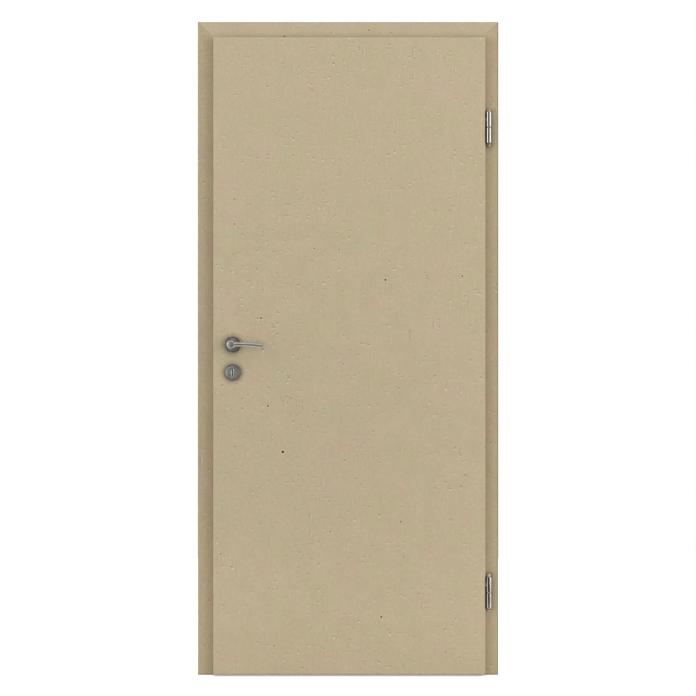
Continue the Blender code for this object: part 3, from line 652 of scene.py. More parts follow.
# Board
# Specks that stand out on the leaf: place along the wall, height, radius, darkness
LEAF_SPECKS = (
    (-0.6308, 0.7093, 0.0040, 1.00),
    (-0.3202, 0.1883, 0.0029, 1.00),
    (-0.3070, 1.2520, 0.0031, 1.00),
    (-0.6994, 1.1316, 0.0029, 0.88),
    (-0.2586, 0.4892, 0.0025, 0.90),
    (-0.0648, 1.2638, 0.0027, 0.92),
    (-0.5318, 1.3513, 0.0025, 0.81),
    (-0.6779, 0.8545, 0.0028, 0.94),
    (-0.4534, 1.3483, 0.0023, 0.74),
    (-0.1518, 0.9504, 0.0025, 0.68),
    (-0.7838, 1.4285, 0.0027, 0.68),
    (-0.8268, 0.3875, 0.0027, 0.65),
    (-0.7834, 1.5073, 0.0027, 0.65),
    (-0.4390, 0.9876, 0.0023, 0.65),
    (-0.4822, 0.4577, 0.0027, 0.59),
    (-0.6049, 0.8789, 0.0023, 0.68),
    (-0.6740, 0.2792, 0.0024, 0.59),
    (-0.7953, 0.3480, 0.0021, 0.59),
    (-0.4340, 0.6837, 0.0025, 0.59),
    (-0.3984, 0.6262, 0.0024, 0.57),
    (-0.7816, 0.7262, 0.0027, 0.57),
    (-0.6588, 0.0979, 0.0027, 0.68),
    (-0.4068, 1.5614, 0.0023, 0.57),
    (-0.1249, 1.6710, 0.0022, 0.57),
    (-0.3452, 0.7755, 0.0023, 0.57),
    (-0.4984, 1.8551, 0.0022, 0.54),
    (-0.2493, 0.3770, 0.0025, 0.54),
    (-0.6485, 0.3287, 0.0022, 0.54),
    (-0.5829, 0.8840, 0.0022, 0.59),
    (-0.2889, 1.5698, 0.0022, 0.51),
    (-0.3593, 0.5385, 0.0022, 0.51),
    (-0.6362, 0.8798, 0.0022, 0.65),
    (-0.6300, 0.8725, 0.0022, 0.65),
    (-0.3955, 0.6964, 0.0023, 0.51),
    (-0.6753, 0.9140, 0.0023, 0.70),
    (-0.3249, 0.6775, 0.0024, 0.51),
)
# Upright scratches on the leaf: place along the wall, height, half width, half length
LEAF_SCRATCHES = (
    (-0.2280, 1.0780, 0.0011, 0.0250),
    (-0.2330, 1.0830, 0.0008, 0.0180),
    (-0.5684, 0.8580, 0.0010, 0.0220),
    (-0.5873, 0.8590, 0.0008, 0.0210),
    (-0.6060, 0.8290, 0.0008, 0.0120),
    (-0.3190, 0.9220, 0.0010, 0.0130),
)
# Specks that stand out on the head, as on the leaf
HEAD_SPECKS = (
    (-0.6275, 2.0265, 0.0027, 0.91),
    (-0.3590, 2.0460, 0.0026, 0.78),
)
# How far noise shifts the marks
WARP = 0.010
# Marks in pairs, each pale mark with painted shade beside it: place, scale, shift from the pale to the dark
# one, share of the spacing, size, strength
FLAKES = (
    ((0, 0, 0), (1, 1, 1), (0.0004, 0, -0.0044), 1.0, 0.36, 1.0),
    ((0.31, 0.17, 0.53), (1, 1, 1), (-0.0042, 0, -0.0010), 1.0, 0.36, 0.85),
)
FIBRES = (
    ((0.7, 0.2, 0.9), (1.9, 1.9, 0.30), (0.0070, 0, 0), 1.1, 0.44, 0.55),
    ((0.1, 0.6, 0.4), (0.40, 1.9, 1.9), (0, 0, -0.0070), 1.0, 0.42, 0.80),
)
# Painted shade and highlight: strength of the painted shade on the frame along the leaf's outline; how far
# in the painted highlight on the leaf's arrises and the painted shade on the frame's outer arrises reach,
# the share of that where they are full, and their strength at the left, right and top; strength and height
# of the painted shade along the foot
OUTLINE_SHADE = 0.27
ARRIS = 0.0048
ARRIS_FULL = 0.4
LEAF_ARRIS_HIGHLIGHT = (0.05, 0.08, 0.25)
FRAME_ARRIS_SHADE = (0.15, 0.92, 0.34)
FOOT_SHADE = 0.30
FOOT_SHADE_HEIGHT = 0.006
# Thickness of the leaf's skins, softness of the line to its core, and the distances at which the faces to
# the wall, the front and the painted shade along the foot begin and are full
SKIN = 0.0034
CORE_SOFTNESS = 0.0003
WALL_FACE = (0.0004, 0.0008)
WALL_FACE_START = 0.008
FRONT_DEPTH = (0.002, 0.006)
FOOT_START = 0.001
# Painted shade on the frame along the leaf's outline: how far it reaches from the leaf, and how far the leaf
# covers it
OUTLINE_SHADE_REACH = (0.0005, 0.0065)
OUTLINE_SHADE_COVER = 0.012
OUTLINE_SHADE_COVER_REACH = (0.0, 0.008)
# Scales of the noise and the cells, in waves or cells to a metre
HUE_SCALE = 10.5
CLOUD_SCALE = 21.0
PATCH_SCALE = 15.0
STROKE_SCALE = 300.0
FELT_SCALE = 1500.0
WARP_SCALE = 260.0
CORE_SCALE = 420.0
# Marks: softness of their edges and strength of the weakest, as shares; where specks and their pale rims
# begin and end to fade, in radii; and where scratches end to fade across and begin to fade along
MARK_EDGE = 0.22
WEAKEST_MARK = 0.15
SPECK_FADE = (0.8, 1.45)
RIM_FADE = (1.5, 2.4)
SCRATCH_ACROSS = 1.6
SCRATCH_ALONG = 0.5
# How strongly each layer colours the board
GRAIN_STRENGTH = 0.10
CHIP_STRENGTHS = (0.12, 0.08)
FLAKE_STRENGTH = 0.80
PIT_SHADE_STRENGTH = 0.95
RIM_STRENGTH = 0.55
SCRATCH_STRENGTH = 0.6
# Shares of the main colour in dull clouds, in the painted shade on the frame's outer arrises, and in the
# painted shade of the patches and lines
DULL = 0.90
FRAME_ARRIS_SHADE_TONE = 0.46
PAINTED_SHADE_TONE = 0.10
BOARD_BUMP = (0.35, 0.0004)
BOARD_ROUGHNESS = (0.82, 0.62)
# Soft patches of painted shade round the roses and under the lever's bar, and by the hinges on the leaf's
# edge, round the knuckles and in the gap at the leaf's edge: place from a point on the face, half size,
# where it begins to fade, where it ends, and strength
LEVER_SHADE = (
    ((0, -0.001), (0, 0), 0.021, 0.046, 0.35),
    ((0.045, -0.004), (0.045, 0.002), 0.002, 0.026, 0.16),
)
KEY_ROSE_SHADE = (((0, 0), (0, 0), 0.021, 0.044, 0.40),)
LEAF_KNUCKLE_SHADE = (((0.004, 0), (0.004, 0.049), 0.0008, 0.0026, 0.90),)
JAMB_KNUCKLE_SHADE = (((-0.002, 0), (0.006, 0.050), 0.001, 0.019, 0.60),)
GAP_EDGE_SHADE = (((0.001, -0.004), (0.002, 0.050), 0.000, 0.005, 0.90),)
# Where each board's pattern begins, so that no two look alike
LEAF_START = (0, 0, 0)
JAMB_START = (3.1, 0.4, 1.7)
HEAD_START = (1.3, 2.2, 5.1)
# The leaf and the head take the board unshaded; only the jambs take the painted shade tint
NO_TINT = (1, 1, 1)


def paired_marks(nodes, place, spacing, sets):
    """How strong the pale marks are at each place, and the painted shade beside them."""
    pale, dark = 0.0, 0.0
    for location, scale, beside, apart, size, strength in sets:
        masks = []
        for shift in (location, tuple(a + b for a, b in zip(location, beside))):
            cell = nodes.mapping(place, location=shift, scale=scale)
            distance, own = nodes.cells(cell, 1 / (spacing * apart))
            chance = nodes.split(own)
            reach = nodes.step(chance["X"], 0.32, 1.0, -0.05, size)
            edge = nodes.step(nodes.less(reach, distance), 0.0, size * MARK_EDGE)
            depth = nodes.step(chance["Y"], 0.2, 0.9, WEAKEST_MARK * strength, strength)
            masks.append(nodes.times(edge, depth))
        pale = nodes.most(pale, masks[0])
        dark = nodes.most(dark, nodes.less(masks[1], masks[0], clamp=True))
    return pale, dark


def speck_mask(nodes, face, specks):
    """How dark the specks with a set place on the face are, and how pale the board round them is."""
    mask, rim = 0.0, 0.0
    for x, z, radius, darkness in specks:
        distance = nodes.vector("DISTANCE", face, (x, 0, z))
        spot, ring = [nodes.fade(distance, radius * first, radius * last, darkness)
                      for first, last in (SPECK_FADE, RIM_FADE)]
        mask, rim = nodes.most(mask, spot), nodes.most(rim, ring)
    return mask, rim


def scratch_mask(nodes, face, scratches):
    """1 along each upright scratch, and 0 elsewhere."""
    parts = nodes.split(face)
    mask = 0.0
    for x, z, half_width, half_length in scratches:
        across = nodes.math("ABSOLUTE", nodes.less(parts["X"], x))
        along = nodes.math("ABSOLUTE", nodes.less(parts["Z"], z))
        line = nodes.times(nodes.fade(across, 0.0, half_width * SCRATCH_ACROSS),
                           nodes.fade(along, half_length * SCRATCH_ALONG, half_length))
        mask = nodes.most(mask, line)
    return mask


def soft_box(nodes, face, centre, half_size, inner, outer):
    """1 in a box on the face and to inner metres outside it, falling to 0 at outer metres."""
    away = nodes.vector("ABSOLUTE", nodes.vector("SUBTRACT", face, (centre[0], 0, centre[1])))
    away = nodes.vector("SUBTRACT", away, (half_size[0], 0, half_size[1]))
    distance = nodes.vector("LENGTH", nodes.vector("MAXIMUM", away, (0, 0, 0)))
    return nodes.fade(distance, inner, outer)


def leaf_outline_shade(nodes, face):
    """Painted shade: 1 on the frame close beside the leaf's outline, and 0 elsewhere."""
    centre = ((LEAF_LOW.x + LEAF_HIGH.x) / 2, (LEAF_LOW.z + LEAF_HIGH.z) / 2)
    half_width, half_height = LEAF_HIGH.x - centre[0], LEAF_HIGH.z - centre[1]
    near = soft_box(nodes, face, centre, (half_width, half_height), *OUTLINE_SHADE_REACH)
    inside = (half_width - OUTLINE_SHADE_COVER, half_height - OUTLINE_SHADE_COVER)
    return nodes.less(near, soft_box(nodes, face, centre, inside, *OUTLINE_SHADE_COVER_REACH), clamp=True)


def band(nodes, value, low, high, soft):
    """1 from low to high, and 0 outside them."""
    rising = nodes.step(value, low - soft, low + soft)
    return nodes.times(rising, nodes.fade(value, high - soft, high + soft))


def cut_edges(nodes, place, is_leaf):
    """1 where the board's core shows: between the leaf's skins, or on the frame's faces to the wall."""
    parts = nodes.split(place)
    if is_leaf:
        return band(nodes, parts["Y"], LEAF_LOW.y + SKIN, LEAF_HIGH.y - SKIN, CORE_SOFTNESS)
    near, far = WALL_FACE
    right = nodes.step(parts["X"], LINING_HIGH.x - far, LINING_HIGH.x - near)
    left = nodes.fade(parts["X"], LINING_LOW.x + near, LINING_LOW.x + far)
    top = nodes.step(parts["Z"], LINING_HIGH.z - far, LINING_HIGH.z - near)
    wall_side = nodes.most(nodes.most(right, left), top)
    depth = band(nodes, parts["Y"], LINING_LOW.y + WALL_FACE_START, LINING_HIGH.y, CORE_SOFTNESS)
    return nodes.times(wall_side, depth)


def core_tone(nodes, board, look, toned):
    """Pressed chips of several browns, as in a board's core."""
    own = nodes.split(nodes.cells(nodes.mapping(board, scale=(1, 1, 0.4)), CORE_SCALE)[1])
    return nodes.mix(own["X"], toned(look.core, 0.72), toned(look.core, 1.25))


def front_side(nodes, place):
    """1 on the faces that look out at the front, and 0 elsewhere."""
    near, far = FRONT_DEPTH
    return nodes.fade(nodes.split(place)["Y"], CASING_FRONT_Y + near, CASING_FRONT_Y + far)


def shade_patch_mask(nodes, face, patches):
    """How dark the painted shade patches make each place on the face."""
    mask = 0.0
    for centre, half_size, inner, outer, strength in patches:
        patch = soft_box(nodes, face, centre, half_size, inner, outer)
        mask = nodes.most(mask, nodes.times(patch, strength))
    return mask


def outer_edge(nodes, place, low, high, shares):
    """Each arris's share on a box's left, right and top arris, and 0 a few millimetres further in."""
    parts = nodes.split(place)
    full = ARRIS * ARRIS_FULL
    left = nodes.fade(parts["X"], low.x + full, low.x + ARRIS, shares[0])
    right = nodes.step(parts["X"], high.x - ARRIS, high.x - full, 0.0, shares[1])
    top = nodes.step(parts["Z"], high.z - ARRIS, high.z - full, 0.0, shares[2])
    return nodes.most(nodes.most(left, right), top)


def wide_areas(nodes, board, look, toned):
    """The board's colour, with wide soft areas of warm, cool and dull."""
    hue = nodes.noise(board, HUE_SCALE, 3.0, 0.55)
    tone = nodes.mix(nodes.step(hue, 0.36, 0.50), toned(look.cool), toned(look.colour))
    tone = nodes.mix(nodes.step(hue, 0.52, 0.66), tone, toned(look.warm))
    cloud = nodes.noise(board, CLOUD_SCALE, 3.0, 0.6)
    return nodes.mix(nodes.step(cloud, 0.35, 0.70, 0.0, 0.45), tone, toned(look.colour, DULL))


def felted_fibres(nodes, board):
    """Height of the fine felted fibres."""
    stroke = nodes.noise(nodes.mapping(board, scale=(1, 1, 0.12)), STROKE_SCALE, 2.0, 0.6)
    felt = nodes.noise(nodes.mapping(board, scale=(1, 1, 0.4)), FELT_SCALE, 2.0, 0.7)
    return nodes.blend(stroke, 0.4, felt, 0.6)


def bent_places(nodes, board):
    """The board's places, shifted a little by noise so that no mark has straight sides."""
    values = {"Vector": board, "Scale": WARP_SCALE, "Detail": 2.0}
    warp = nodes.add("ShaderNodeTexNoise", values).outputs["Color"]
    return nodes.vector("MULTIPLY_ADD", warp, (WARP,) * 3, board)


def bark_specks(nodes, bent, look):
    """How dark the scattered bark specks are."""
    shifted = nodes.mapping(bent, location=(0.3, 0.1, 0.7))
    distance, own = nodes.cells(shifted, 1 / look.speck_spacing, smooth_shape=True)
    chance = nodes.split(own)
    size = nodes.step(chance["X"], 0.45, 1.0, -0.01, 0.050)
    speck = nodes.step(nodes.less(size, distance), 0.0, 0.014)
    return nodes.times(speck, nodes.step(chance["Z"], 0.2, 1.0, 0.15, 0.85))


def painted_shade_mask(nodes, place, face, front, is_leaf, handle_shade, hinge_shade):
    """How dark the painted shade makes each place: by the hinges, along the leaf's outline and along the foot
    on the front, and round the roses and under the lever on both faces.
    """
    foot = LEAF_LOW.z if is_leaf else FRAME_LOW.z
    line = nodes.fade(nodes.split(place)["Z"], foot + FOOT_START, foot + FOOT_SHADE_HEIGHT, FOOT_SHADE)
    dark = nodes.most(shade_patch_mask(nodes, face, hinge_shade), line)
    if not is_leaf:
        dark = nodes.most(dark, nodes.times(leaf_outline_shade(nodes, face), OUTLINE_SHADE))
    return nodes.most(nodes.times(dark, front), shade_patch_mask(nodes, face, handle_shade))


def board_material(name, look, upright, start, tint, handle_shade=(), hinge_shade=(), specks=(), scratches=()):
    """Raw fibreboard. Its fibres run up the board, or along it where it isn't upright.

    Painted shade round the roses and under the lever is on both faces, and painted shade by the hinges
    only at the front. Only the leaf has scratches; its arrises get a painted highlight, and the frame's
    outer arrises painted shade.
    """
    def toned(colour, share=1.0):
        return tuple(min(1.0, channel * part * share) for channel, part in zip(colour, tint))

    def over(share, colour):
        return nodes.mix(share, tone, colour)

    material, nodes, shader = new_material(name, {"Specular IOR Level": 0.32})
    place = nodes.own_place()
    turn = (0, 0, 0) if upright else (0, math.pi / 2, 0)
    board = nodes.mapping(place, location=start, rotation=turn)
    pale, dark = toned(look.flake), toned(look.pit_shade)
    tone = wide_areas(nodes, board, look, toned)
    grain = felted_fibres(nodes, board)
    tone = over(nodes.step(grain, 0.50, 0.66, 0.0, GRAIN_STRENGTH), pale)
    tone = over(nodes.fade(grain, 0.34, 0.50, GRAIN_STRENGTH), dark)

    # Chips pressed flat, each a shade of its own
    bent = bent_places(nodes, board)
    chip = nodes.split(nodes.cells(bent, 1 / look.chip_spacing)[1])
    for axis, strength, colour in zip("XY", CHIP_STRENGTHS, (pale, dark)):
        tone = over(nodes.step(chip[axis], 0.55, 1.0, 0.0, strength), colour)

    # Flakes and loose fibres, each with painted shade for the hollow beside it, thicker in some patches than
    # in others
    patch = nodes.step(nodes.noise(board, PATCH_SCALE), 0.40, 0.62, 0.35, 1.0)
    marks = [paired_marks(nodes, bent, look.flake_spacing, FLAKES),
             paired_marks(nodes, bent, look.dash_spacing, FIBRES)]
    flake, pit_shade = [nodes.times(nodes.most(*pair), patch) for pair in zip(*marks)]
    tone = over(nodes.times(flake, FLAKE_STRENGTH), pale)
    tone = over(nodes.times(pit_shade, PIT_SHADE_STRENGTH), dark)

    # Marks on the surface
    speck = bark_specks(nodes, bent, look)
    face = nodes.flat(place)
    front = front_side(nodes, place)
    if specks:
        spots, rim = [nodes.times(mask, front) for mask in speck_mask(nodes, face, specks)]
        tone = over(nodes.times(rim, RIM_STRENGTH), pale)
        speck = nodes.most(speck, spots)
    if scratches:
        lines = nodes.times(scratch_mask(nodes, face, scratches), front)
        tone = over(nodes.times(lines, SCRATCH_STRENGTH), dark)
    tone = over(speck, toned(look.speck))

    # Arrises, painted shade and cut edges: a painted highlight on the leaf's arrises, painted shade on the
    # frame's outer arrises and in patches and lines
    is_leaf = bool(scratches)
    if is_leaf:
        tone = over(outer_edge(nodes, place, LEAF_LOW, LEAF_HIGH, LEAF_ARRIS_HIGHLIGHT), pale)
    else:
        arris_shade = outer_edge(nodes, place, FRAME_LOW, FRAME_HIGH, FRAME_ARRIS_SHADE)
        tone = over(arris_shade, toned(look.colour, FRAME_ARRIS_SHADE_TONE))
    painted_dark = painted_shade_mask(nodes, place, face, front, is_leaf, handle_shade, hinge_shade)
    tone = over(painted_dark, toned(look.colour, PAINTED_SHADE_TONE))
    tone = over(cut_edges(nodes, place, is_leaf), core_tone(nodes, board, look, toned))

    height = nodes.less(nodes.blend(grain, 0.5, flake, 0.35), nodes.times(nodes.most(pit_shade, speck), 0.7))
    roughness = nodes.step(nodes.plus(grain, nodes.times(flake, 0.3)), 0.3, 0.9, *BOARD_ROUGHNESS)
    connect(nodes, shader, colour=tone, roughness=roughness, normal=nodes.bump(height, *BOARD_BUMP))
    return material


def patches(x, z, spots):
    """Soft patches set out from a point on the face."""
    return [((x + right, z + up), *rest) for (right, up), *rest in spots]


class DOOR_OT_boards(bpy.types.Operator):
    """Give the leaf, the linings and the casings their raw board finish"""

    bl_idname = "door.boards"
    bl_label = "Board Finishes"

    def execute(self, context):
        look = context.scene.door_board
        # Patches of painted shade: round the roses and under the lever on both faces, and by the hinges at
        # the front
        handle_shade = patches(SPINDLE.x, SPINDLE.z, LEVER_SHADE) + patches(SPINDLE.x, KEY_Z, KEY_ROSE_SHADE)
        leaf_hinge_shade, jamb_hinge_shade = [], []
        for seam in SEAMS.values():
            leaf_hinge_shade += patches(LEAF_HIGH.x, seam, LEAF_KNUCKLE_SHADE)
            jamb_hinge_shade += patches(HINGE_AXIS.x, seam, JAMB_KNUCKLE_SHADE) + patches(LEAF_HIGH.x, seam, GAP_EDGE_SHADE)
        leaf = board_material("leaf_board", look, True, LEAF_START, NO_TINT, handle_shade, leaf_hinge_shade,
                              LEAF_SPECKS, LEAF_SCRATCHES)
        jamb = board_material("jamb_board", look, True, JAMB_START, look.jamb_shade_tint, hinge_shade=jamb_hinge_shade)
        head = board_material("head_board", look, False, HEAD_START, NO_TINT, specks=HEAD_SPECKS)
        set_finish(LEAF_BOARD, leaf)
        set_finish(JAMB_BOARDS, jamb)
        set_finish(HEAD_BOARDS, head)
        return {"FINISHED"}


# Metal
# The roses' roughness, as a share of the levers'
ROSE_ROUGHNESS = 1.22
# Painted shade and light on the metal round a place on the face: the roses' rims painted darker, the hub's
# middle painted lighter than the grip, and the ball under each hinge's lower knuckle painted dark where the
# knuckle's shadow falls; near and far distance, and the colour's share at each
ROSE_RIM_SHADE = (0.0190, 0.0225, 1.0, 0.45)
HUB_SHADE = (0.0100, 0.0200, 1.12, 1.0)
CAP_SHADE = (0.0035, 0.0085, 0.45, 1.0)
# Scales of the noise in metal, in waves to a metre
WEAR_SCALE = 55.0
FINE_SCALE = 420.0
RING_SCALE = 3500.0
HAIRLINE_SCALE = 1600.0
HAIRLINE_STRENGTH = 0.25
METAL_BUMP = (0.05, 0.00002)
# Shares of the colour where the metal is dull, where it is clean and in hairlines
METAL_TONES = (0.93, 1.04, 1.15)
# Rubber
BLOOM_SCALE = 38.0
GRIT_SCALE = 1900.0
RUBBER_BUMP = (0.25, 0.0001)
BLOOM_TONE = 1.9
# Scales of the polishing lines along x, y and z
PLATE_LINES = (900, 900, 14)
KNUCKLE_LINES = (40, 40, 700)
CAP_LINES = (60, 60, 1200)
LEVER_LINES = (60, 1400, 1400)


def ring_lines(nodes, away):
    """Fine lines round an axis along Y, as on a turned piece."""
    parts = nodes.split(away)
    radius = nodes.vector("LENGTH", nodes.flat(away))
    along = nodes.times(nodes.math("ARCTAN2", parts["Z"], parts["X"]), 0.003)
    ring = nodes.add("ShaderNodeCombineXYZ", {"X": radius, "Y": along}).outputs[0]
    return nodes.noise(ring, RING_SCALE, 2.0, 0.6)


def metal_material(name, colour, roughness, spread, lines=None, centre=None, shades=()):
    """Metal with fine polishing lines, cloudy wear and a few hair scratches.

    The lines have a scale for each axis. With a centre, they run round it
    instead. Each shade is painted light and shade round a place on the face, with its two distances and
    shares.
    """
    material, nodes, shader = new_material(name, {"Metallic": 1.0})
    place = nodes.own_place()
    cloud = nodes.noise(place, WEAR_SCALE, 4.0, 0.65)
    fine = nodes.noise(place, FINE_SCALE, 3.0, 0.6)
    if centre is None:
        polish = nodes.noise(nodes.mapping(place, scale=lines), 1.0, 3.0, 0.6)
    else:
        polish = ring_lines(nodes, nodes.vector("SUBTRACT", place, centre))
    slanted = nodes.mapping(place, rotation=(0.4, 0.9, 0.3), scale=(1, 1, 0.02))
    scratch = nodes.step(nodes.noise(slanted, HAIRLINE_SCALE, 1.0), 0.70, 0.76)
    dull, clean, cut = [shaded(colour, share) for share in METAL_TONES]
    tone = nodes.mix(nodes.step(cloud, 0.3, 0.7), dull, clean)
    tone = nodes.mix(nodes.times(scratch, HAIRLINE_STRENGTH), tone, cut)
    face = nodes.flat(place)
    for (x, z), limits in shades:
        share = nodes.step(nodes.vector("DISTANCE", face, (x, 0, z)), *limits)
        tone = nodes.mix(1.0, tone, share, "MULTIPLY")
    wear = nodes.blend(cloud, 0.6, fine, 0.4)
    rough = nodes.step(wear, 0.3, 0.7, roughness * (1 - spread), roughness * (1 + spread))
    height = nodes.plus(polish, nodes.times(scratch, -0.4))
    connect(nodes, shader, colour=tone, roughness=rough, normal=nodes.bump(height, *METAL_BUMP))
    return material


def rubber_material(name, colour):
    """Dull rubber with a dusty bloom and fine grit."""
    material, nodes, shader = new_material(name, {"Specular IOR Level": 0.35})
    place = nodes.own_place()
    bloom = nodes.noise(place, BLOOM_SCALE, 4.0, 0.65)
    grit = nodes.noise(place, GRIT_SCALE, 2.0, 0.6)
    tone = nodes.mix(nodes.step(bloom, 0.35, 0.75, 0.0, 0.5), colour, shaded(colour, BLOOM_TONE))
    rough = nodes.step(bloom, 0.3, 0.7, 0.52, 0.72)
    connect(nodes, shader, colour=tone, roughness=rough, normal=nodes.bump(grit, *RUBBER_BUMP))
    return material


# Lock
# The screw heads and their cross recesses, whose slope and end are shares of their width and reach
SCREW_RADIUS = 0.0042
SCREW_PROUD = 0.0010
SCREW_SIDES = 64
SCREW_RINGS = 20
RECESS_REACH = 0.0024
RECESS_HALF_WIDTH = 0.00048
RECESS_DEPTH = 0.0009
RECESS_SLOPE = 1.8
RECESS_END = 0.7
# The screws' distance from the plates' ends, and the strike's from the faceplate's front edge
FACEPLATE_SCREW_INSET = 0.0095
STRIKE_SCREW_INSET = 0.013
STRIKE_SCREW_DEPTH = 0.0090
# The lock's solids, the bodies they ride on, and how much their edges are eased
LOCK_PARTS = (
    ("lock_faceplate", "leaf", 0.0004),
    ("latch_bolt", "leaf", 0.0006),
    ("dead_bolt", "leaf", 0.0005),
    ("strike_plate", "frame", 0.0003),
)


def ease(low, high, value):
    share = min(1.0, max(0.0, (value - low) / (high - low)))
    return share * share * (3 - 2 * share)


def screw_head():
    """A raised screw head with a cross recess, as a template for the Geometry Nodes trees."""
    bm = bmesh.new()
    rings = []
    for k in range(SCREW_RINGS + 1):
        share = k / SCREW_RINGS
        rise = SCREW_PROUD * math.sqrt(max(0.0, 1 - share ** 3))
        ring = []
        for u, v in circle(SCREW_RADIUS * share, SCREW_SIDES if k else 1):
            narrow, long = sorted((abs(u), abs(v)))
            inside = 1 - ease(RECESS_HALF_WIDTH, RECESS_HALF_WIDTH * RECESS_SLOPE, narrow)
            inside *= 1 - ease(RECESS_REACH * RECESS_END, RECESS_REACH, long)
            height = max(GAP / 3, rise - RECESS_DEPTH * inside)
            ring.append(bm.verts.new((u, v, height if k < SCREW_RINGS else 0)))
        rings.append(ring)
    walls(bm, rings)
    bm.faces.new(rings[-1])
    bmesh.ops.recalc_face_normals(bm, faces=bm.faces)
    return add_object("screw_head", mesh_from("screw_head", bm))


class DOOR_OT_lock(bpy.types.Operator):
    """Make the lock's faceplate, bolts and strike plate, with their screws"""

    bl_idname = "door.lock"
    bl_label = "Lock and Strike Plate"

    def execute(self, context):
        metal = context.scene.door_metal
        steel = metal_material("plated_steel", metal.plain, metal.plain_roughness, 0.22, PLATE_LINES)
        set_finish(("handle_spindle",), steel)
        for node, body, edge in LOCK_PARTS:
            soft_copy(node, steel, body, edge)

        low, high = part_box("lock_faceplate")
        heights = (low.z + FACEPLATE_SCREW_INSET, high.z - FACEPLATE_SCREW_INSET)
        plate_screws = [((low.x, middle("lock_faceplate")[1], z), (-1, 0, 0)) for z in heights]
        strike_y = low.y + STRIKE_SCREW_DEPTH
        low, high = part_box("strike_plate")
        heights = (low.z + STRIKE_SCREW_INSET, high.z - STRIKE_SCREW_INSET)
        strike_screws = [((high.x, strike_y, z), (1, 0, 0)) for z in heights]
        for name, body, places in (("faceplate_screws", "leaf", plate_screws),
                                   ("strike_screws", "frame", strike_screws)):
            screws = set_parts(name, screw_head(), steel, places)
            finish_piece(name, screws, steel, body)
        return {"FINISHED"}


# Seal
BULB_DEPTH = 0.0052
SEAL_BASE_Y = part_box("seal_head")[0].y + BULB_DEPTH
SEAL_HALF_FOOT = 0.0012
SEAL_BEND = 0.005
BULB_STEPS = 32
RIBS = 5
RIB_HEIGHT = 0.06
SEAL_COLOUR = (0.060, 0.050, 0.042)
NYLON_COLOUR = (0.045, 0.044, 0.042)
# The foot's outline: shares of its half width and of its depth
BARBS = ((1.0, 0.0), (1.0, 0.20), (1.2, 0.28), (0.85, 0.42), (1.2, 0.50), (0.85, 0.64), (1.2, 0.72),
         (0.7, 1.0))


def seal_section(low, high, middle_y, half_foot):
    """A ribbed bulb with a barbed foot, as an object whose X runs along the stop and Y into it."""
    half, bulb, foot = (high.x - low.x) / 2, middle_y - low.y, high.y - middle_y
    points = []
    for angle in arc(0, math.pi, BULB_STEPS):
        rib = 1 - RIB_HEIGHT * math.sin(RIBS * angle) ** 2
        points.append((half * rib * math.cos(angle), -bulb * rib * math.sin(angle), 0))
    points += [(-half_foot * share, foot * depth, 0) for share, depth in BARBS]
    points += [(half_foot * share, foot * depth, 0) for share, depth in reversed(BARBS)]
    mesh = bpy.data.meshes.new("seal_section")
    mesh.from_pydata(points, [(i, (i + 1) % len(points)) for i in range(len(points))], [])
    return add_object("seal_section", mesh)


class DOOR_OT_seals(bpy.types.Operator):
    """Run the rubber seal up, across and down the stop"""

    bl_idname = "door.seals"
    bl_label = "Seal Strips"

    def execute(self, context):
        rubber = rubber_material("seal_rubber", SEAL_COLOUR)
        left, right = middle("seal_latch_side")[0], middle("seal_hinge_side")[0]
        top = middle("seal_head")[2]
        path = bpy.data.meshes.new("seal_path")
        corners = [(x, SEAL_BASE_Y, z) for x, z in ((left, 0), (left, top), (right, top), (right, 0))]
        path.from_pydata(corners, [(0, 1), (1, 2), (2, 3)], [])
        section = seal_section(*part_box("seal_latch_side"), SEAL_BASE_Y, SEAL_HALF_FOOT)
        strip = set_strip("seal_strip", section, SEAL_BEND, rubber, path)
        finish_piece("seal_strip", strip, rubber, "frame", SEALS)
        rubber_material("bearing_nylon", NYLON_COLOUR)
        return {"FINISHED"}


# Hinges
# The caps: length of the plug in the bore, and how far past the barrel's end the painted shadow on the lower
# caps is darkest
CAP_PLUG = 0.006
CAP_SHADOW_DROP = 0.001
CAP_STEPS = 24
# The pegs: where they begin, as a share of the knuckle's radius, and the collar's radius as a share of theirs
PEG_SIDES = 40
PEG_ROOT = 0.8
PEG_COLLAR = 1.28
PEG_COLLAR_REACH = 0.0009
PEG_COLLAR_EDGE = 0.0003
PEG_DEPTH = 0.012
THREAD_START = 0.0013
THREAD_LENGTH = 0.0055
THREAD_DEPTH = 0.00035
WASHER_INSET = 0.0014
WASHER_WIRE = 0.00033
UPWARDS = (0, 0, 1)


def knuckle_profile(hinge, up, near, bore):
    far = hinge.length
    corners = [(bore, near, 0), (hinge.radius, near, hinge.edge),
               (hinge.radius, far, hinge.edge), (bore, far, 0)]
    return [(radius, height * up) for radius, height in rounded(corners)]

def cap_profile(hinge, up, bore):
    """A plug for the bore, a neck, and a ball on it."""
    seat = hinge.length + GAP
    plug, neck = bore - GAP, hinge.cap_neck_radius
    under = seat + hinge.cap_neck_height
    waist = under + hinge.cap_undercut
    rise = seat + hinge.cap_height - waist
    first = -math.acos(neck / hinge.cap_radius)
    sag = hinge.cap_undercut / math.sin(-first)
    points = [(0, seat - CAP_PLUG), (plug, seat - CAP_PLUG), (plug, seat), (neck, seat)]
    for angle in arc(first, math.pi / 2 - first, CAP_STEPS):
        height = waist + (rise if angle > 0 else sag) * math.sin(angle)
        points.append((hinge.cap_radius * math.cos(angle), height))
    points[-1] = (0, seat + hinge.cap_height)
    return [(radius, height * up) for radius, height in points]


def peg_profile(hinge, end):
    """A collar that stands on the knuckle, and a shank that ends inside the board."""
    start, shoulder = hinge.radius * PEG_ROOT, hinge.radius + PEG_COLLAR_REACH
    collar, shank = hinge.peg_radius * PEG_COLLAR, hinge.peg_radius
    return rounded([(0, start, 0), (collar, start, 0), (collar, shoulder, PEG_COLLAR_EDGE),
                    (shank, shoulder, 0), (shank, end, 0), (0, end, 0)])


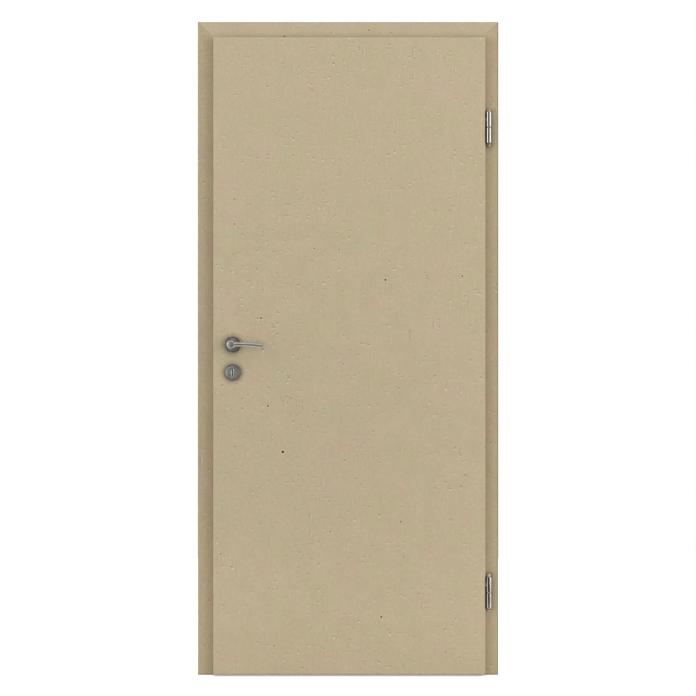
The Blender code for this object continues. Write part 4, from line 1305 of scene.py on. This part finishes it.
class DOOR_OT_hinges(bpy.types.Operator):
    """Make the screw-in hinges: knuckles, threaded pegs, washers and domed caps"""

    bl_idname = "door.hinges"
    bl_label = "Hinges"

    def execute(self, context):
        metal = context.scene.door_metal
        hinge = context.scene.door_hinge
        bright = metal_material("bright_plating", metal.bright, metal.bright_roughness, 0.3,
                                KNUCKLE_LINES)
        # Painted shadow on the ball under each hinge's lower knuckle
        cap_shadows = [((HINGE_AXIS.x, seam - hinge.length - CAP_SHADOW_DROP), CAP_SHADE) for seam in SEAMS.values()]
        dull = metal_material("dull_cap_metal", metal.cap, metal.cap_roughness, 0.2, CAP_LINES,
                              shades=cap_shadows)
        set_finish([f"hinge_{label}_pin" for label in HINGES], bpy.data.materials["plated_steel"])
        pin_low, pin_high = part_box("hinge_upper_pin")
        bore = (pin_high.x - pin_low.x) / 2 + GAP

        washers = []
        threads = {"leaf": [], "frame": []}
        for label, seam in SEAMS.items():
            place = Vector((HINGE_AXIS.x, HINGE_AXIS.y, seam))
            washers.append((place, UPWARDS))
            for body, up, heading, face in (
                    ("leaf", 1, Vector((-1, 0, 0)), HINGE_AXIS.x - LEAF_HIGH.x),
                    ("frame", -1, Vector((0, 1, 0)), CASING_FRONT_Y - HINGE_AXIS.y)):
                name = f"hinge_{label}_{body}_part"
                low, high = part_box(name)
                near = low.z - seam if up > 0 else seam - high.z
                knuckle = stand(turned(knuckle_profile(hinge, up, near, bore)), place, UPWARDS)
                peg_place = place + Vector((0, 0, up * (hinge.length + near) / 2))
                peg = turned(peg_profile(hinge, face + PEG_DEPTH), PEG_SIDES)
                join(knuckle, stand(peg, peg_place, heading))
                piece_from(f"{name}_finish", knuckle, bright, body, (name,))
                threads[body].append((peg_place + heading * (hinge.radius + THREAD_START), heading))
                cap = f"hinge_{label}_cap_{'top' if up > 0 else 'bottom'}"
                ball = stand(turned(cap_profile(hinge, up, bore)), place, UPWARDS)
                piece_from(f"{cap}_finish", ball, dull, body, (cap,))

        nylon = bpy.data.materials["bearing_nylon"]
        washer = set_rings("hinge_washers", hinge.radius - WASHER_INSET, WASHER_WIRE, nylon, washers)
        finish_piece("hinge_washers", washer, nylon, "frame")
        for body, places in threads.items():
            name = f"{body}_peg_threads"
            thread = set_threads(name, hinge.peg_radius, THREAD_DEPTH, hinge.thread_pitch, THREAD_LENGTH,
                                 bright, places)
            finish_piece(name, thread, bright, body)
        return {"FINISHED"}


# Levers and roses
# Size of the cast skin's grid, and rounds of smoothing
CAST_GRAIN = 0.0006
CAST_ROUNDS = 10
# Steps along each curve
FLARE_STEPS = 16
EDGE_STEPS = 12
GRIP_STEPS = 64
TIP_STEPS = 10
BOW_STEPS = 32
FOOT_STEPS = 12
COLLAR_STEPS = 6
ROSE_SIDES = 96
# The roses' outline: a base a little smaller than the rose, a fine seam above it, and the dome, which has
# its fall at the edge and its rounding
BASE_INSET = 0.0007
BASE_HEIGHT = 0.0011
SEAM_TOP = 0.0013
SEAM_EDGE = 0.0002
LEVER_ROSE_DOME = (0.0014, 0.0038)
KEY_ROSE_DOME = (0.0016, 0.0036)
# The lever's rose: its open middle, the bearing ring in it, and the set screw's distance from it
HOLE_CLEARANCE = 0.0016
HOLE_EDGE = 0.0005
BEARING_CLEARANCE = 0.0008
BEARING_WIRE = 0.0007
SET_SCREW_PLACE = 0.0027
# The key's rose: its flat top, its raised collar, and its keyhole with a sloping mouth
FLAT_TOP = 0.0175
FLAT_TOP_BEND = 0.03
COLLAR_HALF_WIDTH = 0.0063
COLLAR_HALF_HEIGHT = 0.0135
COLLAR_PROUD = 0.0011
COLLAR_ROUNDING = 0.8
BOW_RADIUS = 0.0033
BOW_RISE = 0.0075
SLOT_HALF_WIDTH = 0.002
SLOT_DROP = 0.0115
MOUTH_WIDTH = 0.0012
MOUTH_DEPTH = 0.0008
# The set screw. Its face, crown and socket are shares of its radius, and the socket's depth one of its depth
SET_SCREW_RADIUS = 0.0019
SET_SCREW_DEPTH = 0.0012
SET_SCREW_SIDES = 32
SET_SCREW_FACE = 0.88
SET_SCREW_CROWN = 0.1
SOCKET_SIDES = 6
SOCKET_RADIUS = 0.6
SOCKET_DEPTH = 0.8


def make_hub(lever, outward):
    """The hub, turned from its neck in the rose through a flare to a flat, round-edged front."""
    start = lever.rose_height - lever.neck_inset
    flare = lever.rose_height + lever.neck_straight
    front = lever.stand_off + lever.root[1]
    profile = [(0, start), (lever.neck_radius, start)]
    for i in range(FLARE_STEPS + 1):
        share = i / FLARE_STEPS
        radius = lever.neck_radius + (lever.hub_radius - lever.neck_radius) * ease(0, 1, share)
        profile.append((radius, flare + lever.hub_flare * share))
    for angle in arc(0, math.pi / 2, EDGE_STEPS):
        profile.append((lever.hub_radius - lever.hub_edge * (1 - math.cos(angle)),
                        front - lever.hub_dome - lever.hub_edge * (1 - math.sin(angle))))
    profile.append((0, front))
    return stand(turned(profile), (0, 0, 0), (0, outward, 0))


def grip_section(lever, reach):
    """Half height and half depth of the grip at a distance from the spindle's line."""
    first, last, begin, end = lever.root, lever.waist, 0, lever.waist_reach
    if reach > lever.waist_reach:
        first, last, begin, end = lever.waist, lever.tip, lever.waist_reach, lever.reach
    share = ease(begin, end, reach)
    return [a + (b - a) * share for a, b in zip(first, last)]


def make_grip(lever, outward):
    """The grip, lofted from inside the hub along a drooping line to its rounded tip."""
    body = lever.reach - lever.tip_round
    cuts = [body * i / GRIP_STEPS for i in range(GRIP_STEPS + 1)]
    cuts += [body + lever.tip_round * math.sin(angle) for angle in arc(0, math.pi / 2, TIP_STEPS)[1:-1]]
    bm = bmesh.new()
    rings = []
    for reach in cuts:
        half_height, half_depth = grip_section(lever, reach)
        beyond = max(0, (reach - body) / lever.tip_round)
        edge = lever.tip_round * (1 - math.sqrt(1 - beyond ** 2))
        droop = (lever.rise + lever.drop) * (reach / lever.reach) ** lever.droop_power - lever.rise
        ring = []
        for depth, height in circle(1, lever.sides):
            y = outward * (lever.stand_off + (half_depth - edge) * depth)
            ring.append(bm.verts.new((reach, y, (half_height - edge) * height - droop)))
        rings.append(ring)
    walls(bm, rings)
    bm.faces.new(rings[0])
    bm.faces.new(rings[-1])
    bmesh.ops.recalc_face_normals(bm, faces=bm.faces)
    return bm


def cast_skin(shapes, place):
    """One skin over overlapping shapes, as if they were cast in one, with soft fillets between them."""
    bm = bmesh.new()
    for shape in shapes:
        join(bm, shape)
    mesh = mesh_from("cast", bm)
    holder = add_object("cast", mesh)
    skin = holder.modifiers.new("skin", "REMESH")
    skin.mode = "VOXEL"
    skin.voxel_size = CAST_GRAIN
    relax = holder.modifiers.new("relax", "SMOOTH")
    relax.iterations = CAST_ROUNDS
    graph = bpy.context.evaluated_depsgraph_get()
    result = bpy.data.meshes.new_from_object(holder.evaluated_get(graph))
    bpy.data.objects.remove(holder)
    bpy.data.meshes.remove(mesh)
    result.transform(Matrix.Translation(place))
    return result


def rose_base(radius):
    """Corners of a rose's base and of the seam above it."""
    base = radius - BASE_INSET
    return [(base, 0, 0), (base, BASE_HEIGHT, 0), (radius, SEAM_TOP, SEAM_EDGE)]


def make_lever_rose(lever):
    """A domed rose with a fine seam above its base and an open middle for the neck."""
    radius, height, hole = lever.rose_radius, lever.rose_height, lever.neck_radius + HOLE_CLEARANCE
    fall, bend = LEVER_ROSE_DOME
    corners = [(hole, 0, 0), *rose_base(radius), (radius, height - fall, bend), (hole, height, HOLE_EDGE)]
    return turned(rounded(corners), ROSE_SIDES)


def keyhole_outline(grown=0):
    """The keyhole's outline, or one that stands a little outside it."""
    bow_radius, half_width = BOW_RADIUS + grown, SLOT_HALF_WIDTH + grown
    shoulder = math.asin(half_width / bow_radius)
    first, last = shoulder - math.pi / 2, 1.5 * math.pi - shoulder
    outline = [(bow_radius * math.cos(angle), BOW_RISE + bow_radius * math.sin(angle))
               for angle in arc(first, last - first, BOW_STEPS)]
    foot = SLOT_HALF_WIDTH - SLOT_DROP
    return outline + [(half_width * math.cos(angle), foot + half_width * math.sin(angle))
                      for angle in arc(math.pi, math.pi, FOOT_STEPS)]


def make_key_rose(lever):
    """A rose with a raised collar round its keyhole."""
    radius, height = lever.rose_radius, lever.key_rose_height
    fall, bend = KEY_ROSE_DOME
    edge = COLLAR_PROUD * COLLAR_ROUNDING
    bm = bmesh.new()
    corners = [*rose_base(radius), (radius, height - fall, bend), (FLAT_TOP, height, FLAT_TOP_BEND),
               (0, height, 0)]
    rings = [loop(bm, circle(ring, ROSE_SIDES), z) for ring, z in rounded(corners)[:-1]]
    collar = [loop(bm, stadium(COLLAR_HALF_WIDTH, COLLAR_HALF_HEIGHT), height)]
    for angle in arc(0, math.pi / 2, COLLAR_STEPS):
        inset = edge * (1 - math.cos(angle))
        outline = stadium(COLLAR_HALF_WIDTH - inset, COLLAR_HALF_HEIGHT - inset)
        collar.append(loop(bm, outline, height + COLLAR_PROUD - edge + edge * math.sin(angle)))
    top = height + COLLAR_PROUD
    mouth = loop(bm, keyhole_outline(MOUTH_WIDTH), top)
    hole = [loop(bm, keyhole_outline(), z) for z in (top - MOUTH_DEPTH, 0)]
    walls(bm, rings)
    walls(bm, collar)
    walls(bm, [mouth, *hole])
    cover(bm, rings[-1], collar[0])
    cover(bm, collar[-1], mouth)
    cover(bm, rings[0], hole[-1])
    return bm


def stand_rose(bm, outward, centre_z):
    """Stand a rose on its face of the leaf, its local Y upwards."""
    place = Vector((SPINDLE.x, FACES["front" if outward < 0 else "back"] + outward * GAP, centre_z))
    for vert in bm.verts:
        u, v, depth = vert.co
        vert.co = place + Vector((u, outward * depth, v))
    bmesh.ops.recalc_face_normals(bm, faces=bm.faces)
    return bm


def set_screw():
    """A small set screw with a six-sided socket, as a template for Geometry Nodes."""
    bm = bmesh.new()
    top = SET_SCREW_RADIUS * SET_SCREW_CROWN
    outside = ((1, -SET_SCREW_DEPTH), (1, 0), (SET_SCREW_FACE, top))
    foot, shoulder, face = [loop(bm, circle(SET_SCREW_RADIUS * share, SET_SCREW_SIDES), height)
                            for share, height in outside]
    mouth, bottom = [loop(bm, circle(SET_SCREW_RADIUS * SOCKET_RADIUS, SOCKET_SIDES), height)
                     for height in (top, -SET_SCREW_DEPTH * SOCKET_DEPTH)]
    walls(bm, [foot, shoulder, face])
    wall(bm, mouth, bottom)
    cover(bm, face, mouth)
    cover(bm, bottom)
    cover(bm, foot)
    bmesh.ops.recalc_face_normals(bm, faces=bm.faces)
    return add_object("set_screw", mesh_from("set_screw", bm))


class DOOR_OT_handles(bpy.types.Operator):
    """Make the levers, their set screws, roses and bearing rings, and the key roses"""

    bl_idname = "door.handles"
    bl_label = "Handles"

    def execute(self, context):
        metal = context.scene.door_metal
        lever = context.scene.door_lever
        # The hub's middle is painted lighter than the grip, and the roses' rims painted darker, as painted
        # light and shade
        grip = metal_material("satin_lever", metal.satin, metal.satin_roughness, 0.2, LEVER_LINES,
                              shades=[((SPINDLE.x, SPINDLE.z), HUB_SHADE)])
        roses = []
        for part, shape, height in (("lever_rose", make_lever_rose, SPINDLE.z),
                                    ("key_rose", make_key_rose, KEY_Z)):
            finish = metal_material(
                f"satin_{part}", getattr(metal, part), metal.satin_roughness * ROSE_ROUGHNESS, 0.2,
                centre=(SPINDLE.x, SPINDLE.y, height), shades=[((SPINDLE.x, height), ROSE_RIM_SHADE)])
            roses.append((part, shape, height, finish))
        bearings, screws = [], []
        for side, outward in SIDES:
            face_y = FACES[side]
            shapes = (make_hub(lever, outward), make_grip(lever, outward))
            cast = cast_skin(shapes, (SPINDLE.x, face_y, SPINDLE.z))
            finish_piece(f"lever_{side}_finish", cast, grip, "handle", (f"lever_{side}",))
            for part, shape, height, finish in roses:
                rose = stand_rose(shape(lever), outward, height)
                name = f"{part}_{side}"
                piece_from(f"{name}_finish", rose, finish, "leaf", (name,))
            seat_y = face_y + outward * (lever.rose_height - BEARING_CLEARANCE)
            bearings.append(((SPINDLE.x, seat_y, SPINDLE.z), (0, outward, 0)))
            screw_y = face_y + outward * (lever.rose_height + SET_SCREW_PLACE)
            screws.append(((SPINDLE.x, screw_y, SPINDLE.z - lever.neck_radius), (0, 0, -1)))
        steel = bpy.data.materials["plated_steel"]
        grub = set_parts("lever_set_screws", set_screw(), steel, screws)
        finish_piece("lever_set_screws", grub, steel, "handle")
        nylon = bpy.data.materials["bearing_nylon"]
        radius = lever.neck_radius + BEARING_CLEARANCE
        rings = set_rings("lever_bearings", radius, BEARING_WIRE, nylon, bearings)
        finish_piece("lever_bearings", rings, nylon, "leaf")
        return {"FINISHED"}


# Stage
SENSOR_WIDTH = 0.036
FLOOR_HALF = 1.9
FLOOR_FRONT = 0.9
FLOOR_DEPTH = 0.0005
# The floor's shadow at the foot: how far it reaches, the floor's own tones, and its glow in and out of it
CONTACT_REACH = 0.05
FLOOR_TONES = ((0.80, 0.80, 0.80), (0.83, 0.83, 0.83))
FLOOR_GLOW = (0.35, 0.85)
WHITE = (1.0, 1.0, 1.0)
# The white behind the object begins and is full at these parts of a ray's direction along Y
HORIZON = (-0.2, 0.1)
# The dark patch in front of the object
DARK_HALF_TURN = math.radians(36)
DARK_PATCH = (0.03, 0.03, 0.032)
# Lamps: place from the frame's middle at the floor, the y and z that they face, and width and height
LAMPS = {
    "left": ((-3.4, -2.2, 1.25), (LEAF_LOW.y, 1.05), (3.4, 3.5)),
    "right": ((3.45, -2.2, 1.25), (LEAF_LOW.y, 1.05), (2.4, 3.5)),
    "rear": ((0, 3.4, 1.9), (0, 1.05), (3.4, 3.0)),
    "top": ((0, -2.5, 3.9), (LEAF_LOW.y, 1.3), (3.4, 2.2)),
}


def floor_material():
    """A pale floor that is white to the camera and keeps the object's shadow."""
    even = {"Roughness": 0.85, "Emission Color": (*WHITE, 1.0)}
    material, nodes, shader = new_material("pale_floor", even)
    cloud = nodes.noise(nodes.own_place(), 3.0, 3.0)
    tone = nodes.mix(cloud, *FLOOR_TONES)
    rays = nodes.add("ShaderNodeLightPath").outputs
    seen = nodes.most(rays["Is Camera Ray"], rays["Is Glossy Ray"])
    seen = nodes.most(seen, rays["Is Transmission Ray"])
    contact = nodes.add("ShaderNodeAmbientOcclusion", {"Distance": CONTACT_REACH}).outputs["AO"]
    glow = nodes.times(seen, nodes.step(contact, 0.1, 0.8, *FLOOR_GLOW))
    nodes.put(glow, shader.inputs["Emission Strength"])
    connect(nodes, shader, colour=tone)
    return material


def make_world(room_light):
    """Even room light, white behind the object, and a darker patch in front of it for the metal."""
    world = bpy.data.worlds.new("room")
    world.use_nodes = True
    world.node_tree.nodes.clear()
    nodes = Nodes(world.node_tree)
    rays = nodes.add("ShaderNodeLightPath").outputs
    heading = nodes.split(nodes.add("ShaderNodeTexCoord").outputs["Generated"])
    front = nodes.times(heading["Y"], -1.0)
    dark = nodes.step(front, math.cos(DARK_HALF_TURN * 1.25), math.cos(DARK_HALF_TURN * 0.8))
    room = nodes.mix(dark, (room_light,) * 3, DARK_PATCH)
    behind = nodes.step(heading["Y"], *HORIZON)
    mirrored = nodes.most(rays["Is Glossy Ray"], rays["Is Transmission Ray"])
    white = nodes.most(rays["Is Camera Ray"], nodes.times(mirrored, behind))
    colour = nodes.mix(white, room, WHITE)
    background = nodes.add("ShaderNodeBackground", {"Color": colour, "Strength": 1.0})
    nodes.add("ShaderNodeOutputWorld", {"Surface": background.outputs[0]})
    return world


def add_lamp(name, place, target, size, power):
    """A soft rectangular lamp that faces a point."""
    data = bpy.data.lights.new(name, "AREA")
    data.shape = "RECTANGLE"
    data.size, data.size_y = size
    data.energy = power
    lamp = add_object(name, data)
    lamp.location = place
    lamp.rotation_euler = (Vector(target) - Vector(place)).to_track_quat("-Z", "Y").to_euler()


class DOOR_OT_stage(bpy.types.Operator):
    """Add the floor, the lamps, the world and the camera"""

    bl_idname = "door.stage"
    bl_label = "Stage"

    def execute(self, context):
        scene = context.scene
        stage = scene.door_stage
        mesh = bpy.data.meshes.new("floor")
        ends = ((-FLOOR_HALF, -FLOOR_FRONT), (FLOOR_HALF, -FLOOR_FRONT),
                (FLOOR_HALF, FLOOR_HALF), (-FLOOR_HALF, FLOOR_HALF))
        mesh.from_pydata([(x, y, -FLOOR_DEPTH) for x, y in ends], [], [(0, 1, 2, 3)])
        mesh.materials.append(floor_material())
        add_object("floor", mesh)

        centre = (FRAME_LOW.x + FRAME_HIGH.x) / 2
        for name, ((x, y, z), aim, size) in LAMPS.items():
            power = getattr(stage, f"{name}_power")
            add_lamp(f"{name}_lamp", (centre + x, y, z), (centre, *aim), size, power)
        scene.world = make_world(stage.room_light)

        data = bpy.data.cameras.new("camera")
        data.sensor_width = SENSOR_WIDTH * 1000
        data.lens = data.sensor_width * stage.camera_distance / stage.view_width
        camera = add_object("camera", data)
        camera.location = (stage.camera_side, CASING_FRONT_Y - stage.camera_distance, stage.camera_height)
        camera.rotation_euler = (math.pi / 2, 0, 0)
        scene.camera = camera
        scene.view_settings.view_transform = "Standard"
        return {"FINISHED"}


OPERATORS = (DOOR_OT_boards, DOOR_OT_seals, DOOR_OT_lock, DOOR_OT_hinges, DOOR_OT_handles, DOOR_OT_stage)


class DOOR_PT_panel(bpy.types.Panel):
    """The door's settings and the operators that make its looks"""

    bl_label = "Door"
    bl_idname = "DOOR_PT_panel"
    bl_space_type = "VIEW_3D"
    bl_region_type = "UI"
    bl_category = "Door"

    def draw(self, context):
        for operator in OPERATORS:
            self.layout.operator(operator.bl_idname)
        for name in SETTINGS:
            settings = getattr(context.scene, name)
            box = self.layout.box()
            for label in settings.bl_rna.properties.keys():
                if label not in ("rna_type", "name"):
                    box.prop(settings, label)


CLASSES = (*SETTINGS.values(), *OPERATORS, DOOR_PT_panel)


def register():
    for cls in CLASSES:
        bpy.utils.register_class(cls)
    for name, settings in SETTINGS.items():
        setattr(bpy.types.Scene, name, PointerProperty(type=settings))


def unregister():
    for name in SETTINGS:
        delattr(bpy.types.Scene, name)
    for cls in reversed(CLASSES):
        bpy.utils.unregister_class(cls)


def main():
    register()
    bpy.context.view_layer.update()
    bpy.ops.door.boards()
    bpy.ops.door.seals()
    bpy.ops.door.lock()
    bpy.ops.door.hinges()
    bpy.ops.door.handles()
    bpy.ops.door.stage()


if __name__ == "__main__":
    main()
